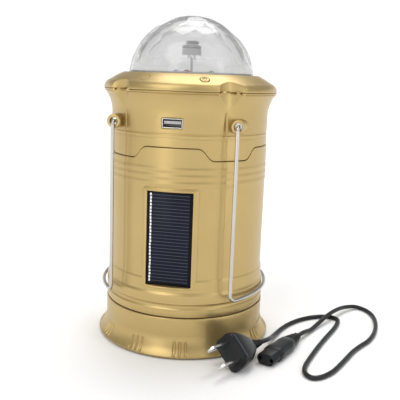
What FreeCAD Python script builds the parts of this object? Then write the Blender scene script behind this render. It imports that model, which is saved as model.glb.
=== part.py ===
import FreeCAD, Part
import math
import os
import re
import Sketcher

# Solar camping lantern with a telescopic sleeve, a turning crystal dome and a loose mains lead.
# Frame: origin at the middle of the foot on the ground, +Z up, the solar panel faces -Y.
# Angles round the body are counted from the front (-Y) towards +X.

# ---------------------------------------------------------------- dimensions (mm, degrees)
# A number is set by itself; a text is worked out from the sizes that it names.
SIZES = {
    # base
    "foot_radius": "base_radius + 5.5", "foot_round": 1.5, "foot_lift": 0.8, "flare_top": 16.0,
    "flare_round": 17.6,
    "base_radius": "skirt_radius + 0.2", "base_wall": 2.2, "base_height": 27.0,
    "rib_count": 12, "rib_first": 10.2, "rib_pitch": 3.7, "rib_width": 1.5, "rib_depth": 0.7,
    "rib_top": "flare_top - 5.0",
    "cover_plate": 2.2, "cover_margin": 3.4, "deck_plate": 2.2, "deck_ledge": 1.6,
    "rubber_radius": 5.0, "rubber_height": 2.0, "rubber_circle": "foot_radius - 18.9",
    "screw_circle": "base_radius - 5.0", "screw_radius": 1.4, "screw_head": 2.8, "post_radius": 3.4,
    # charging socket and its cover
    "door_half": 12.0, "door_sill": 12.5, "door_thick": 1.8, "door_knuckle": 1.6, "door_pin": 0.8,
    "door_hinge_offset": 11.0, "inlet_width": 13.9, "inlet_height": 8.9, "inlet_depth": 12.0,
    "inlet_level": 17.1, "pin_radius": 1.2, "pin_pitch": 8.6, "pin_length": 9.0,
    # battery and charger
    "cell_radius": 9.2, "cell_length": 65.0, "cell_pitch": 19.6, "cell_offset": 19.5,
    "board_thick": 1.6,
    # lamp
    "tube_radius": "lip_bore - 4.9", "tube_wall": 1.8, "flange_radius": "tube_radius + 3",
    "flange_height": 2.0, "stop_height": 3.1, "stop_plate": 5.0, "column_radius": 10.4,
    "led_radius": 2.4, "led_length": 2.8,
    # sleeve
    "body_radius": 55.3, "shell_bore": "body_radius - 1.8", "skirt_radius": "body_radius + 1.9",
    "skirt_top": 43.0, "seam_gap": 0.6, "lip_bore": "shell_bore - 2.1", "lip_height": 3.0,
    "groove_level": 35.0,
    "groove_half": 2.0, "groove_depth": 0.9, "bead_depth": 0.55, "bead_half": 1.7,
    "bead_first": "seam_high - 23.0", "bead_pitch": 4.5, "slide_travel": 62.0,
    "seam_low": "seam_high - 8", "seam_high": 140.2, "seam_centre": 42.2, "seam_half_low": 12.8,
    "seam_half_high": 20.4, "join_gap": 0.3, "flute_angle": 37.0, "flute_radius": 1.5,
    "flute_depth": 0.5,
    # solar panel
    "window_half": 15.4, "window_low": "skirt_top + 5.1", "window_high": "bead_first - 5.4",
    "frame_width": 2.8, "frame_rise": 0.9, "panel_face": "body_radius - 2.4", "panel_thick": 2.0,
    "panel_lap": 1.5,
    "backplate_thick": 1.4,
    # head
    "head_radius": "body_radius - 0.4", "neck_level": "seam_high + 19.8", "rim_radius": "head_radius + 5.7",
    "rim_level": "neck_level + 16", "scallop_radius": 13.4, "scallop_depth": "head_radius + 0.6",
    "scallop_angle": 38.5, "scallop_wall": 1.6, "floor_level": "seam_high - 9.2",
    "floor_plate": 2.0, "floor_rim": 19.0,
    "usb_level": "neck_level - 4.1", "usb_width": 13.8, "usb_height": 6.6, "usb_depth": 14.0,
    "boss_radius": 4.6, "boss_face": "head_radius - 8.1", "boss_length": 20.8,
    "boss_bore": 2.5, "bush_length": 7.0,
    "bush_recess": 3.6,
    # top cap
    "cap_level": "rim_level + 11.6", "cap_wall": 2.0, "well_radius": "head_radius - 8.6",
    "well_wall": 1.6, "well_depth": 7.6, "well_ledge": 2.2, "shoulder_radius": "head_radius + 1.3",
    "shoulder_level": "cap_level - 5.3", "shoulder_round": 6.6, "crown_round": 60.0, "deck_disc": 1.8,
    # dome
    "dome_radius": "well_radius - 2.5", "dome_wall": 2.0, "dome_centre": "cap_level - 4.8",
    "dome_foot": "cap_level - 1.3", "dome_flange": "well_radius - 0.7", "dome_flange_height": 1.0,
    "hub_radius": 6.3, "hub_low": "cap_level + 11.4", "hub_edge": 2.4,
    "hub_high": "hub_low + 10", "shaft_radius": 1.0, "motor_radius": 10.0, "motor_low": "neck_level",
    # buttons
    "button_angle": 21.0, "button_circle": "well_radius + 7.3", "button_radius": 2.85, "button_gap": 0.5,
    # bails
    "wire_radius": 1.25, "pivot_half": "head_radius - 13.7", "pivot_level": "neck_level - 5",
    "leg_half": "boss_face + 1.6", "bail_drop": "pivot_level - groove_level - 4.5",
    "bail_bow": "skirt_radius + 1.8", "bail_corner": 4.5, "hook_round": 2.4, "hook_length": 10.4,
    # fits
    "run_gap": 0.05, "free_gap": 0.35,
    # lead
    "cord_diameter": 3.2, "plug_length": 22.0, "plug_width": 24.0, "plug_height": 16.5,
    "plug_neck": 12.0, "blade_width": 6.35, "blade_thick": 1.5, "blade_length": 17.0,
    "blade_pitch": 12.7, "coupler_length": 34.0, "coupler_width": 13.4, "coupler_height": 9.0,
    "coupler_nose": 12.6,
}

doc = FreeCAD.newDocument("SolarLantern")
sheet = doc.addObject("Spreadsheet::Sheet", "Sizes")
for row, alias in enumerate(SIZES, start=1):
    sheet.set("A%d" % row, alias)
    sheet.setAlias("B%d" % row, alias)
for row, size in enumerate(SIZES.values(), start=1):
    sheet.set("B%d" % row, "=" + size if isinstance(size, str) else str(size))
doc.recompute()

# the lamp tube ends where its cap's stop ring meets the sleeve's lip at full travel
TUBE_TOP = ("(base_height + seam_gap + lip_height + slide_travel + free_gap"
            " + stop_height - stop_plate)")
nodes = []


# ---------------------------------------------------------------- helpers
def linked(expression):
    """The expression with each size written as a reference to its cell."""
    def cell(word):
        return "Sizes." + word.group() if word.group() in SIZES else word.group()
    return re.sub(r"[a-z_]+", cell, str(expression))


def value(expression):
    """The number that an expression of sizes gives."""
    return float(sheet.evalExpression(linked(expression)))


def bind(thing, **expressions):
    """Tie properties of an object to expressions of sizes."""
    for name, expression in expressions.items():
        thing.setExpression(name, linked(expression))
    return thing


def place(thing, at=("0", "0", "0"), axis=(0, 0, 1), angle="0"):
    """Set a primitive's place by expressions: a point and a turn about an axis."""
    turn = FreeCAD.Rotation(FreeCAD.Vector(*axis), value(angle))
    spot = FreeCAD.Vector(*[value(part) for part in at])
    thing.Placement = FreeCAD.Placement(spot, turn)
    for letter, part in zip("xyz", at):
        thing.setExpression("Placement.Base." + letter, linked(part))
    if angle != "0":
        thing.setExpression("Placement.Rotation.Angle", linked(angle))
    return thing


def box(name, low, high):
    """A box between two corners."""
    thing = doc.addObject("Part::Box", name)
    for letter, edge in enumerate(("Length", "Width", "Height")):
        bind(thing, **{edge: "(%s) - (%s)" % (high[letter], low[letter])})
    return place(thing, low)


def cylinder(name, radius, height, at=("0", "0", "0"), axis=(0, 0, 1), angle="0"):
    """A cylinder that stands on a point, upright unless it is turned."""
    thing = bind(doc.addObject("Part::Cylinder", name), Radius=radius, Height=height)
    return place(thing, at, axis, angle)


def around(radius, angle, height):
    """The point at a radius and an angle from the front, at a height."""
    return ("(%s) * sin(%s)" % (radius, angle), "-(%s) * cos(%s)" % (radius, angle), height)


def joined(name, parts):
    fused = doc.addObject("Part::MultiFuse", name)
    fused.Shapes = parts
    return fused


def group(name, parts):
    """Separate solids that share one node."""
    held = doc.addObject("Part::Compound", name)
    held.Links = parts
    return held


def cut(name, base, tools):
    result = doc.addObject("Part::Cut", name)
    result.Base = base
    result.Tool = tools[0] if len(tools) == 1 else joined(name + "_tools", tools)
    return result


def common(name, first, second):
    result = doc.addObject("Part::Common", name)
    result.Base = first
    result.Tool = second
    return result


def node(thing, label):
    """Mark an object as a finished sub-part."""
    thing.Label = label
    nodes.append(thing)
    return thing


def arc_between(start, end, radius, left):
    """The short arc from start to end, its centre on the left or right of the way."""
    chord = end - start
    half = chord.Length / 2
    side = FreeCAD.Vector(-chord.y, chord.x, 0).normalize()
    if not left:
        side = side * -1
    centre = start + chord * 0.5 + side * math.sqrt(max(radius ** 2 - half ** 2, 0))
    first, last = (start, end) if left else (end, start)
    angles = [math.atan2(point.y - centre.y, point.x - centre.x) for point in (first, last)]
    circle = Part.Circle(centre, FreeCAD.Vector(0, 0, 1), radius)
    return Part.ArcOfCircle(circle, angles[0], angles[1])


def turned(name, outline):
    """A body turned about Z from corners (radius, height).

    A corner can add the radius of the arc that leads to it and the side that its centre is on.
    """
    body = doc.addObject("PartDesign::Body", name)
    sketch = body.newObject("Sketcher::SketchObject", name + "_outline")
    plane = [item for item in body.Origin.OriginFeatures if item.Role == "XZ_Plane"][0]
    sketch.AttachmentSupport = [(plane, "")]
    sketch.MapMode = "FlatFace"
    points = [FreeCAD.Vector(value(corner[0]), value(corner[1]), 0) for corner in outline]
    starts = []
    for number, point in enumerate(points):
        following = (number + 1) % len(points)
        corner = outline[following]
        if len(corner) == 4:
            left = corner[3] == "left"
            curve = arc_between(point, points[following], value(corner[2]), left)
            starts.append(1 if left else 2)
        else:
            curve = Part.LineSegment(point, points[following])
            starts.append(1)
        sketch.addGeometry(curve, False)
    for number in range(len(points)):
        previous = (number - 1) % len(points)
        end = 3 - starts[previous]
        sketch.addConstraint(Sketcher.Constraint("Coincident", previous, end, number, starts[number]))
    for number, corner in enumerate(outline):
        if corner[0] == "0":
            sketch.addConstraint(
                Sketcher.Constraint("PointOnObject", number, starts[number], -2))
        else:
            across = sketch.addConstraint(Sketcher.Constraint(
                "DistanceX", -1, 1, number, starts[number], points[number].x))
            sketch.setExpression("Constraints[%d]" % across, linked(corner[0]))
        up = sketch.addConstraint(Sketcher.Constraint(
            "DistanceY", -1, 1, number, starts[number], points[number].y))
        sketch.setExpression("Constraints[%d]" % up, linked(corner[1]))
        if len(corner) == 4:
            bend = (number - 1) % len(points)
            size = sketch.addConstraint(Sketcher.Constraint("Radius", bend, value(corner[2])))
            sketch.setExpression("Constraints[%d]" % size, linked(corner[2]))
    turn = body.newObject("PartDesign::Revolution", name + "_turn")
    turn.Profile = sketch
    turn.ReferenceAxis = (sketch, ["V_Axis"])
    turn.Angle = 360
    body.Tip = turn
    return body


def made(name, shape):
    """A shape that no primitive or body gives, such as a bent wire."""
    thing = doc.addObject("Part::Feature", name)
    thing.Shape = shape
    return thing


def rounded_path(points):
    """Straight runs joined by tangent arcs, each as large as its runs allow."""
    edges = []
    here = points[0]
    for number in range(1, len(points) - 1):
        corner = points[number]
        back = points[number - 1] - corner
        ahead = points[number + 1] - corner
        half = (math.pi - back.getAngle(ahead)) / 2
        radius = 0.45 * min(back.Length, ahead.Length) / math.tan(half)
        reach = radius * math.tan(half)
        back.normalize()
        ahead.normalize()
        begin = corner + back * reach
        finish = corner + ahead * reach
        middle = (back + ahead).normalize() * (radius / math.cos(half) - radius) + corner
        if (begin - here).Length > 1e-6:
            edges.append(Part.LineSegment(here, begin).toShape())
        edges.append(Part.Arc(begin, middle, finish).toShape())
        here = finish
    edges.append(Part.LineSegment(here, points[-1]).toShape())
    return Part.Wire(edges)


def swept_round(path, radius):
    """A round bar along a path."""
    first = path.Edges[0]
    start = first.valueAt(first.FirstParameter)
    along = first.tangentAt(first.FirstParameter)
    section = Part.Wire([Part.makeCircle(radius, start, along)])
    return path.makePipeShell([section], True, False)


# ---------------------------------------------------------------- base
def base_shell():
    outline = [
        ("foot_radius - foot_round", "foot_lift"),
        ("foot_radius", "foot_lift + foot_round", "foot_round", "left"),
        ("base_radius", "flare_top", "flare_round", "right"),
        ("base_radius", "base_height"),
        ("base_radius - base_wall", "base_height"),
        ("base_radius - base_wall", "base_height - deck_plate - 0.8"),
        ("base_radius - base_wall - deck_ledge", "base_height - deck_plate - 0.8"),
        ("base_radius - base_wall - deck_ledge", "base_height - deck_plate - 2.8"),
        ("base_radius - base_wall", "base_height - deck_plate - 4.4"),
        ("base_radius - base_wall", "foot_lift + cover_plate + 0.4"),
        ("foot_radius - cover_margin", "foot_lift + cover_plate + 0.4"),
        ("foot_radius - cover_margin", "foot_lift"),
    ]
    shell = turned("base_blank", outline)
    posts = []
    holes = []
    for number in range(4):
        angle = "%d" % (45 + 90 * number)
        foot = around("screw_circle", angle, "foot_lift + cover_plate + 0.4")
        posts.append(cylinder("base_post_%d" % number, "post_radius", "9", foot))
        holes.append(cylinder("base_post_hole_%d" % number, "screw_radius", "7", foot))
    hinge = ("base_radius - base_wall - door_knuckle + 1.0", "door_hinge_offset")
    posts.append(cylinder("pin_boss", "1.9", "4.4", hinge + ("door_sill - 4.4",)))
    whole = joined("base_blank_posts", [shell] + posts)
    opening = box("door_opening",
                  ("base_radius - base_wall - deck_ledge - 1.5", "-door_half - free_gap", "door_sill"),
                  ("base_radius + 3", "door_hinge_offset + door_knuckle + 1.0", "base_height + 3"))
    pin_hole = cylinder("door_pin_hole", "door_pin", "4", hinge + ("door_sill - 3.4",))
    return node(cut("base_shell", whole, [opening, pin_hole] + holes + rib_grooves()), "base_shell")


def rib_grooves():
    """Groups of three upright grooves that follow the foot's flare and leave four bars between them."""
    low, high = "foot_lift + foot_round + 0.3", "rib_top"
    slots = []
    for place_number in range(int(value("rib_count"))):
        for step in (-1, 0, 1):
            angle = "rib_first + %d * 360 / rib_count + %d * rib_pitch" % (place_number, step)
            slot = doc.addObject("Part::Box", "rib_slot")
            bind(slot, Length="rib_width", Width="12", Height="%s - (%s)" % (high, low))
            place(slot, around("foot_radius + 2", angle, low), (0, 0, 1), angle)
            slots.append(slot)
    core = turned("rib_core", [
        ("0", "foot_lift"), ("foot_radius - rib_depth", "foot_lift"),
        ("foot_radius - rib_depth", "foot_lift + foot_round"),
        ("base_radius - rib_depth", "flare_top", "flare_round", "right"), ("0", "flare_top"),
    ])
    return [cut("rib_grooves", joined("rib_slots", slots), [core])]


def bottom_parts():
    plate = cylinder("bottom_plate", "foot_radius - cover_margin - 0.3", "cover_plate - 0.2",
                     ("0", "0", "foot_lift + 0.2"))
    holes = []
    screws = []
    pads = []
    for number in range(4):
        angle = "%d" % (45 + 90 * number)
        low = around("screw_circle", angle, "foot_lift + 0.2")
        holes.append(cylinder("screw_clear_%d" % number, "screw_radius + 0.2", "cover_plate", low))
        holes.append(cylinder("screw_sink_%d" % number, "screw_head + 0.2", "1.2", low))
        head = cylinder("screw_head_%d" % number, "screw_head", "1.0",
                        around("screw_circle", angle, "foot_lift + 0.4"))
        shank = cylinder("screw_shank_%d" % number, "screw_radius", "7.6",
                         around("screw_circle", angle, "foot_lift + 0.9"))
        screws.append(joined("bottom_screw_%d" % number, [head, shank]))
        spot = around("rubber_circle", "%d" % (90 * number), "0")
        pads.append(cylinder("rubber_pad_%d" % number, "rubber_radius", "rubber_height", spot))
        sink = around("rubber_circle", "%d" % (90 * number), "foot_lift - 0.2")
        holes.append(cylinder("rubber_sink_%d" % number, "rubber_radius",
                              "rubber_height - foot_lift + 0.2", sink))
    node(cut("bottom_cover", plate, holes), "bottom_cover")
    node(group("bottom_screws", screws), "bottom_screws")
    node(group("rubber_feet", pads), "rubber_feet")


def socket_parts():
    """The two-pin charging socket at the right-hand side (+X) of the base and its hinged cover."""
    front = "base_radius - base_wall - 1.2"
    low = "inlet_level - inlet_height / 2"
    blank = box("inlet_blank",
                (front + " - inlet_depth - 4", "-inlet_width / 2 - 2", low + " - 1.7"),
                (front, "inlet_width / 2 + 2", "inlet_level + inlet_height / 2 + 1.7"))
    half = "(inlet_width - inlet_height) / 2"
    middle = box("inlet_middle", (front + " - inlet_depth", "-" + half, low),
                 (front + " + 1", half, "inlet_level + inlet_height / 2"))
    ends = [cylinder("inlet_end", "inlet_height / 2", "inlet_depth + 1",
                     (front + " - inlet_depth", side + half, "inlet_level"), (0, 1, 0), "90")
            for side in ("-", "")]
    pin_spots = [(front + " - inlet_depth - 5", side + "pin_pitch / 2", "inlet_level")
                 for side in ("-", "")]
    pin_holes = [cylinder("pin_hole", "pin_radius", "6", spot, (0, 1, 0), "90") for spot in pin_spots]
    node(cut("charging_socket", blank, [middle] + ends + pin_holes), "charging_socket")
    pins = [cylinder("socket_pin", "pin_radius", "pin_length + 5", spot, (0, 1, 0), "90")
            for spot in pin_spots]
    node(group("socket_pins", pins), "socket_pins")

    hinge = ("base_radius - base_wall - door_knuckle + 1.0", "door_hinge_offset")
    bottom = "door_sill + free_gap"
    top = "base_height - free_gap"
    ring = cut("door_ring",
               cylinder("door_ring_out", "base_radius - 0.05", top + " - (" + bottom + ")",
                        ("0", "0", bottom)),
               [cylinder("door_ring_in", "base_radius - door_thick", "base_height", ("0", "0", "0"))])
    plate = common("door_plate", ring,
                   box("door_span", ("0", "-door_half", "0"),
                       ("base_radius + 2", "door_hinge_offset + 0.2", "base_height + 2")))
    trimmed = cut("door_trimmed", plate,
                  [box("door_relief", ("0", "door_hinge_offset - door_knuckle - 0.9",
                                       "base_height - 3.4"),
                       ("base_radius + 2", "door_hinge_offset + 3", "base_height + 2"))])
    knuckle = cylinder("door_knuckle_bar", "door_knuckle",
                       "base_height - 3.4 - (" + bottom + ")", hinge + (bottom,))
    bore = cylinder("door_knuckle_bore", "door_pin + run_gap", "base_height", hinge + ("0",))
    node(cut("socket_cover", joined("door_solid", [trimmed, knuckle]), [bore]), "socket_cover")
    pin = cylinder("socket_cover_pin", "door_pin", "base_height - 0.9 - door_sill + 3.2",
                   hinge + ("door_sill - 3.2",))
    node(pin, "socket_cover_pin")


def power_parts():
    """Two cells in a cradle, and the charger board with its parts."""
    level = "foot_lift + cover_plate + 1.8 + cell_radius"
    cells = []
    troughs = []
    for number in range(2):
        across = "-(cell_offset + (%s) * cell_pitch)" % ("0.5" if number else "-0.5")
        spot = (across, "-cell_length / 2", level)
        cells.append(cylinder("cell_%d" % number, "cell_radius", "cell_length", spot, (1, 0, 0), "-90"))
        trough = cylinder("trough_%d" % number, "cell_radius", "cell_length", spot, (1, 0, 0), "-90")
        troughs.append(trough)
    cradle_low = "foot_lift + cover_plate + 0.1"
    cradle = box("cradle_blank",
                 ("-cell_offset - cell_pitch + 1.5", "-cell_length / 2 + 8", cradle_low),
                 ("-cell_offset + cell_pitch - 1.5", "cell_length / 2 - 8", level + " - 3"))
    node(cut("battery_cradle", cradle, troughs), "battery_cradle")
    node(group("battery_cells", cells), "battery_cells")
    board = box("charger_board", ("7", "-32", "9"), ("33", "30", "9 + board_thick"))
    node(board, "charger_board")
    on_board = "9 + board_thick"
    transformer = box("transformer", ("10", "-26", on_board), ("25", "-12", on_board + " + 11"))
    capacitor = cylinder("capacitor", "4.5", "11", ("16", "2", on_board))
    chip = box("charge_chip", ("20", "12", on_board), ("26", "20", on_board + " + 2"))
    relay = box("coil_block", ("10", "14", on_board), ("17", "24", on_board + " + 8"))
    node(group("charger_parts", [transformer, capacitor, chip, relay]), "charger_parts")


def lamp_parts():
    """The clear lamp that the sleeve uncovers when it is pulled up."""
    deck_low = "base_height - deck_plate - 0.8"
    deck_top = "base_height - 0.8"
    disc = cylinder("deck_disc_blank", "base_radius - base_wall - 0.2", "deck_plate", ("0", "0", deck_low))
    hinge = ("base_radius - base_wall - door_knuckle + 1.0", "door_hinge_offset")
    ear = cylinder("deck_ear", "door_knuckle", "deck_plate", hinge + (deck_low,))
    ear_hole = cylinder("deck_ear_hole", "door_pin", "deck_plate", hinge + (deck_low,))
    relief = box("deck_relief", ("base_radius - door_thick - 1.6", "-door_half - 2", deck_low),
                 ("base_radius + 1", "door_hinge_offset - door_knuckle", deck_top))
    wires = cylinder("deck_wire_hole", "4", "deck_plate", ("0", "0", deck_low))
    spigot = cut("deck_spigot",
                 cylinder("deck_spigot_out", "tube_radius - tube_wall - 0.1", "3.8", ("0", "0", deck_top)),
                 [cylinder("deck_spigot_in", "tube_radius - tube_wall - 2.1", "3.8", ("0", "0", deck_top))])
    deck = cut("deck_plate_cut", joined("deck_plate_ear", [disc, ear]), [relief, wires, ear_hole])
    node(joined("lamp_deck", [deck, spigot]), "lamp_deck")

    node(turned("lamp_tube", [
        ("tube_radius - tube_wall", deck_top),
        ("flange_radius", deck_top),
        ("flange_radius", deck_top + " + flange_height"),
        ("tube_radius", deck_top + " + flange_height"),
        ("tube_radius", TUBE_TOP),
        ("tube_radius - tube_wall", TUBE_TOP),
    ]), "lamp_tube")

    stop = turned("lamp_cap_blank", [
        ("0", TUBE_TOP),
        ("tube_radius - tube_wall - 2.1", TUBE_TOP),
        ("tube_radius - tube_wall - 2.1", TUBE_TOP + " - 3"),
        ("tube_radius - tube_wall - 0.1", TUBE_TOP + " - 3"),
        ("tube_radius - tube_wall - 0.1", TUBE_TOP),
        ("lip_bore - 0.6", TUBE_TOP),
        ("lip_bore - 0.6", TUBE_TOP + " + stop_plate - stop_height"),
        ("shell_bore - free_gap", TUBE_TOP + " + stop_plate - stop_height"),
        ("shell_bore - free_gap", TUBE_TOP + " + stop_plate"),
        ("0", TUBE_TOP + " + stop_plate"),
    ])
    flat_face = "-(panel_face - panel_thick - backplate_thick) + free_gap + 0.5"
    flat = box("lamp_cap_flat", ("-shell_bore", "-shell_bore", TUBE_TOP + " - 4"),
               ("shell_bore", flat_face, TUBE_TOP + " + 8"))
    socket = doc.addObject("Part::Prism", "column_socket")
    socket.Polygon = 6
    bind(socket, Circumradius="column_radius + 0.1", Height="1")
    place(socket, ("0", "0", TUBE_TOP + " - 0.5"))
    node(cut("lamp_cap", stop, [flat, socket]), "lamp_cap")

    column = doc.addObject("Part::Prism", "column_bar")
    column.Polygon = 6
    bind(column, Circumradius="column_radius", Height=TUBE_TOP + " - (" + deck_top + ")")
    place(column, ("0", "0", deck_top))
    node(column, "led_column")
    lights = []
    for side in range(6):
        angle = "%d" % (60 * side)
        for row in range(5):
            lamp = bind(doc.addObject("Part::Cylinder", "lamp_led"), Radius="led_radius",
                        Height="led_length")
            level = "%s + 16 + %d * 10.5" % (deck_top, row)
            spot = around("column_radius * cos(30)", angle, level)
            quarter = FreeCAD.Rotation(FreeCAD.Vector(0, 0, 1), 60 * side)
            lamp.Placement = FreeCAD.Placement(
                FreeCAD.Vector(*[value(part) for part in spot]),
                quarter.multiply(FreeCAD.Rotation(FreeCAD.Vector(1, 0, 0), 90)))
            for letter, part in zip("xyz", spot):
                lamp.setExpression("Placement.Base." + letter, linked(part))
            lights.append(lamp)
    node(group("column_leds", lights), "column_leds")
    node(turned("reflector", [
        ("column_radius + 1.2", deck_top),
        ("column_radius + 4", deck_top),
        ("tube_radius - tube_wall - 3.4", deck_top + " + 7"),
        ("tube_radius - tube_wall - 3.4", deck_top + " + 8"),
        ("column_radius + 1.2", deck_top + " + 1.2"),
    ]), "reflector")


# ---------------------------------------------------------------- sleeve and solar panel
def seam_wedges(name, shrink):
    """The four places where the head's skirt dips into the sleeve's top edge."""
    wedges = []
    for sign_x, sign_y in ((1, 1), (1, -1), (-1, 1), (-1, -1)):
        angle = "seam_centre" if sign_y > 0 else "180 - seam_centre"
        wedge = doc.addObject("Part::Wedge", name)
        drop = "(seam_high - seam_low)"
        slope = "(seam_half_high - seam_half_low) / %s" % drop
        bind(wedge, Xmin="-(seam_half_low - %s)" % shrink, Xmax="seam_half_low - %s" % shrink,
             Ymin="0", Ymax=drop + " + 1",
             Zmin="40", Zmax="70", Z2min="40", Z2max="70",
             X2min="-(seam_half_low - %s + (%s + 1) * %s)" % (shrink, drop, slope),
             X2max="seam_half_low - %s + (%s + 1) * %s" % (shrink, drop, slope))
        # local Y goes up and local Z goes out along the wedge's own angle
        signed = value(angle) * sign_x
        upright = FreeCAD.Rotation(FreeCAD.Vector(1, 0, 0), 90)
        about = FreeCAD.Rotation(FreeCAD.Vector(0, 0, 1), signed)
        level = "seam_low + %s" % shrink if shrink != "0" else "seam_low"
        wedge.Placement = FreeCAD.Placement(FreeCAD.Vector(0, 0, value(level)), about.multiply(upright))
        wedge.setExpression("Placement.Base.z", linked(level))
        wedges.append(wedge)
    return wedges


def flutes(name, low, high):
    """Shallow upright lines that part the front and back from the sides."""
    return [cylinder(name, "flute_radius", "(%s) - (%s)" % (high, low),
                     around("body_radius + flute_radius - flute_depth", angle, low))
            for angle in ("flute_angle", "-flute_angle", "180 - flute_angle", "180 + flute_angle")]


def sleeve():
    low = "base_height + seam_gap"
    groove_bend = "(groove_half^2 + groove_depth^2) / (2 * groove_depth)"
    outline = [
        ("lip_bore", low),
        ("skirt_radius - 0.5", low),
        ("skirt_radius", low + " + 2"),
        ("skirt_radius", "groove_level - groove_half"),
        ("skirt_radius", "groove_level + groove_half", groove_bend, "right"),
        ("skirt_radius", "skirt_top"),
        ("body_radius + 0.9", "skirt_top + 1.6"),
        ("body_radius + 0.6", "skirt_top + 9"),
        ("body_radius", "skirt_top + 10.2"),
    ]
    for number in range(3):
        centre = "bead_first + %d * bead_pitch" % number
        bend = "(bead_half^2 + bead_depth^2) / (2 * bead_depth)"
        outline.append(("body_radius", centre + " - bead_half"))
        outline.append(("body_radius", centre + " + bead_half", bend, "left"))
    outline += [
        ("body_radius", "seam_high"),
        ("shell_bore", "seam_high"),
        ("shell_bore", low + " + lip_height"),
        ("lip_bore", low + " + lip_height"),
    ]
    blank = turned("sleeve_blank", outline)
    edge = "frame_width"
    ring = cut("frame_ring",
               cylinder("frame_ring_out", "body_radius + frame_rise",
                        "window_high - window_low + 2 * 1.9", ("0", "0", "window_low - 1.9")),
               [cylinder("frame_ring_in", "shell_bore + 0.5", "seam_high", ("0", "0", "0"))])
    frame = common("frame_bars", ring,
                   box("frame_span", ("-window_half - " + edge, "-80", "0"),
                       ("window_half + " + edge, "-20", "seam_high")))
    window = box("window", ("-window_half", "-80", "window_low"), ("window_half", "-40", "window_high"))
    pocket = box("panel_pocket",
                 ("-window_half - panel_lap - 0.2", "-panel_face", "window_low - 1 - 0.2"),
                 ("window_half + panel_lap + 0.2", "-40", "window_high + 1 + 0.2"))
    back = "-(panel_face - panel_thick)"
    back_pocket = box("backplate_pocket",
                      ("-window_half - panel_lap - 2", back, "window_low - 2.9"),
                      ("window_half + panel_lap + 2", "-30", "window_high + 2.9"))
    keep = cylinder("pocket_keep", "shell_bore + 5", "seam_high", ("0", "0", low + " + lip_height + 1"))
    tools = [window, common("pocket_cut", joined("pockets", [pocket, back_pocket]), keep)]
    tools += seam_wedges("sleeve_notch", "0") + flutes("sleeve_flute", "skirt_top + 2", "seam_high + 1")
    node(cut("sleeve", joined("sleeve_framed", [blank, frame]), tools), "sleeve")

    panel = box("panel_slab",
                ("-window_half - panel_lap", "-panel_face", "window_low - 1"),
                ("window_half + panel_lap", back, "window_high + 1"))
    node(panel, "solar_panel")
    plate = box("panel_backplate",
                ("-window_half - panel_lap - 1.6", back, "window_low - 2.5"),
                ("window_half + panel_lap + 1.6", back + " + backplate_thick", "window_high + 2.5"))
    node(plate, "panel_backplate")


# ---------------------------------------------------------------- head
def scallops(name, extra):
    """Upright round channels that let the raised bails lean over the top."""
    parts = []
    for angle in ("scallop_angle", "-scallop_angle", "180 - scallop_angle", "180 + scallop_angle"):
        parts.append(cylinder(name, "scallop_radius + " + extra, "60",
                              around("scallop_depth + scallop_radius", angle, "neck_level - 14")))
    return parts


def head_shell():
    top = "rim_level"
    flare = "((rim_level - neck_level)^2 + (%s)^2) / (2 * (%s))"
    outward = "rim_radius - head_radius"
    inner = "shell_bore"
    rise = "rim_radius - 1.8"
    inner_outward = "%s - %s" % (rise, inner)
    foot = "seam_high + join_gap"
    outer = turned("head_outer", [
        ("0", foot), ("head_radius", foot), ("head_radius", "neck_level"),
        ("rim_radius", top, flare % (outward, outward), "right"), ("0", top),
    ])
    hollow = turned("head_hollow", [
        ("0", "seam_low - 1"), (inner, "seam_low - 1"), (inner, "neck_level"),
        (rise, top, flare % (inner_outward, inner_outward), "right"),
        (rise, "rim_level + 1"), ("0", "rim_level + 1"),
    ])
    skirt = turned("head_skirt", [
        (inner, "seam_low"), ("head_radius", "seam_low"), ("head_radius", "seam_high + 1"),
        (inner, "seam_high + 1"),
    ])
    dips = common("head_dips", skirt, joined("head_dip_wedges", seam_wedges("head_dip", "join_gap")))
    bosses = []
    bores = []
    for side in ("-", ""):
        for end, turn in (("-", "90"), ("", "-90")):
            spot = (side + "pivot_half", end + "(boss_face - boss_length)", "pivot_level")
            bosses.append(cylinder("boss", "boss_radius", "boss_length", spot, (1, 0, 0), turn))
            bores.append(cylinder("boss_bore", "boss_bore", "boss_face", spot, (1, 0, 0), turn))
    solid = cut("head_notched", outer, scallops("head_scallop", "0"))
    cavity = cut("head_cavity", hollow, scallops("head_cavity_scallop", "scallop_wall"))
    shell = joined("head_walls", [cut("head_hollowed", solid, [cavity]), dips] + bosses)
    usb = box("usb_opening", ("-usb_width / 2", "-80", "usb_level - usb_height / 2"),
              ("usb_width / 2", "-40", "usb_level + usb_height / 2"))
    tools = [usb] + bores + flutes("head_flute", "seam_low - 1", "neck_level + 4")
    node(cut("head_shell", shell, tools), "head_shell")

    bushes = []
    for side in ("-", ""):
        for end, turn in (("-", "90"), ("", "-90")):
            spot = (side + "pivot_half", end + "(boss_face - bush_recess - bush_length)", "pivot_level")
            ring = cylinder("bush_ring", "boss_bore", "bush_length", spot, (1, 0, 0), turn)
            hole = cylinder("bush_hole", "wire_radius + run_gap", "bush_length", spot, (1, 0, 0), turn)
            bushes.append(cut("pivot_bush", ring, [hole]))
    node(group("pivot_bushes", bushes), "pivot_bushes")


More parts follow.
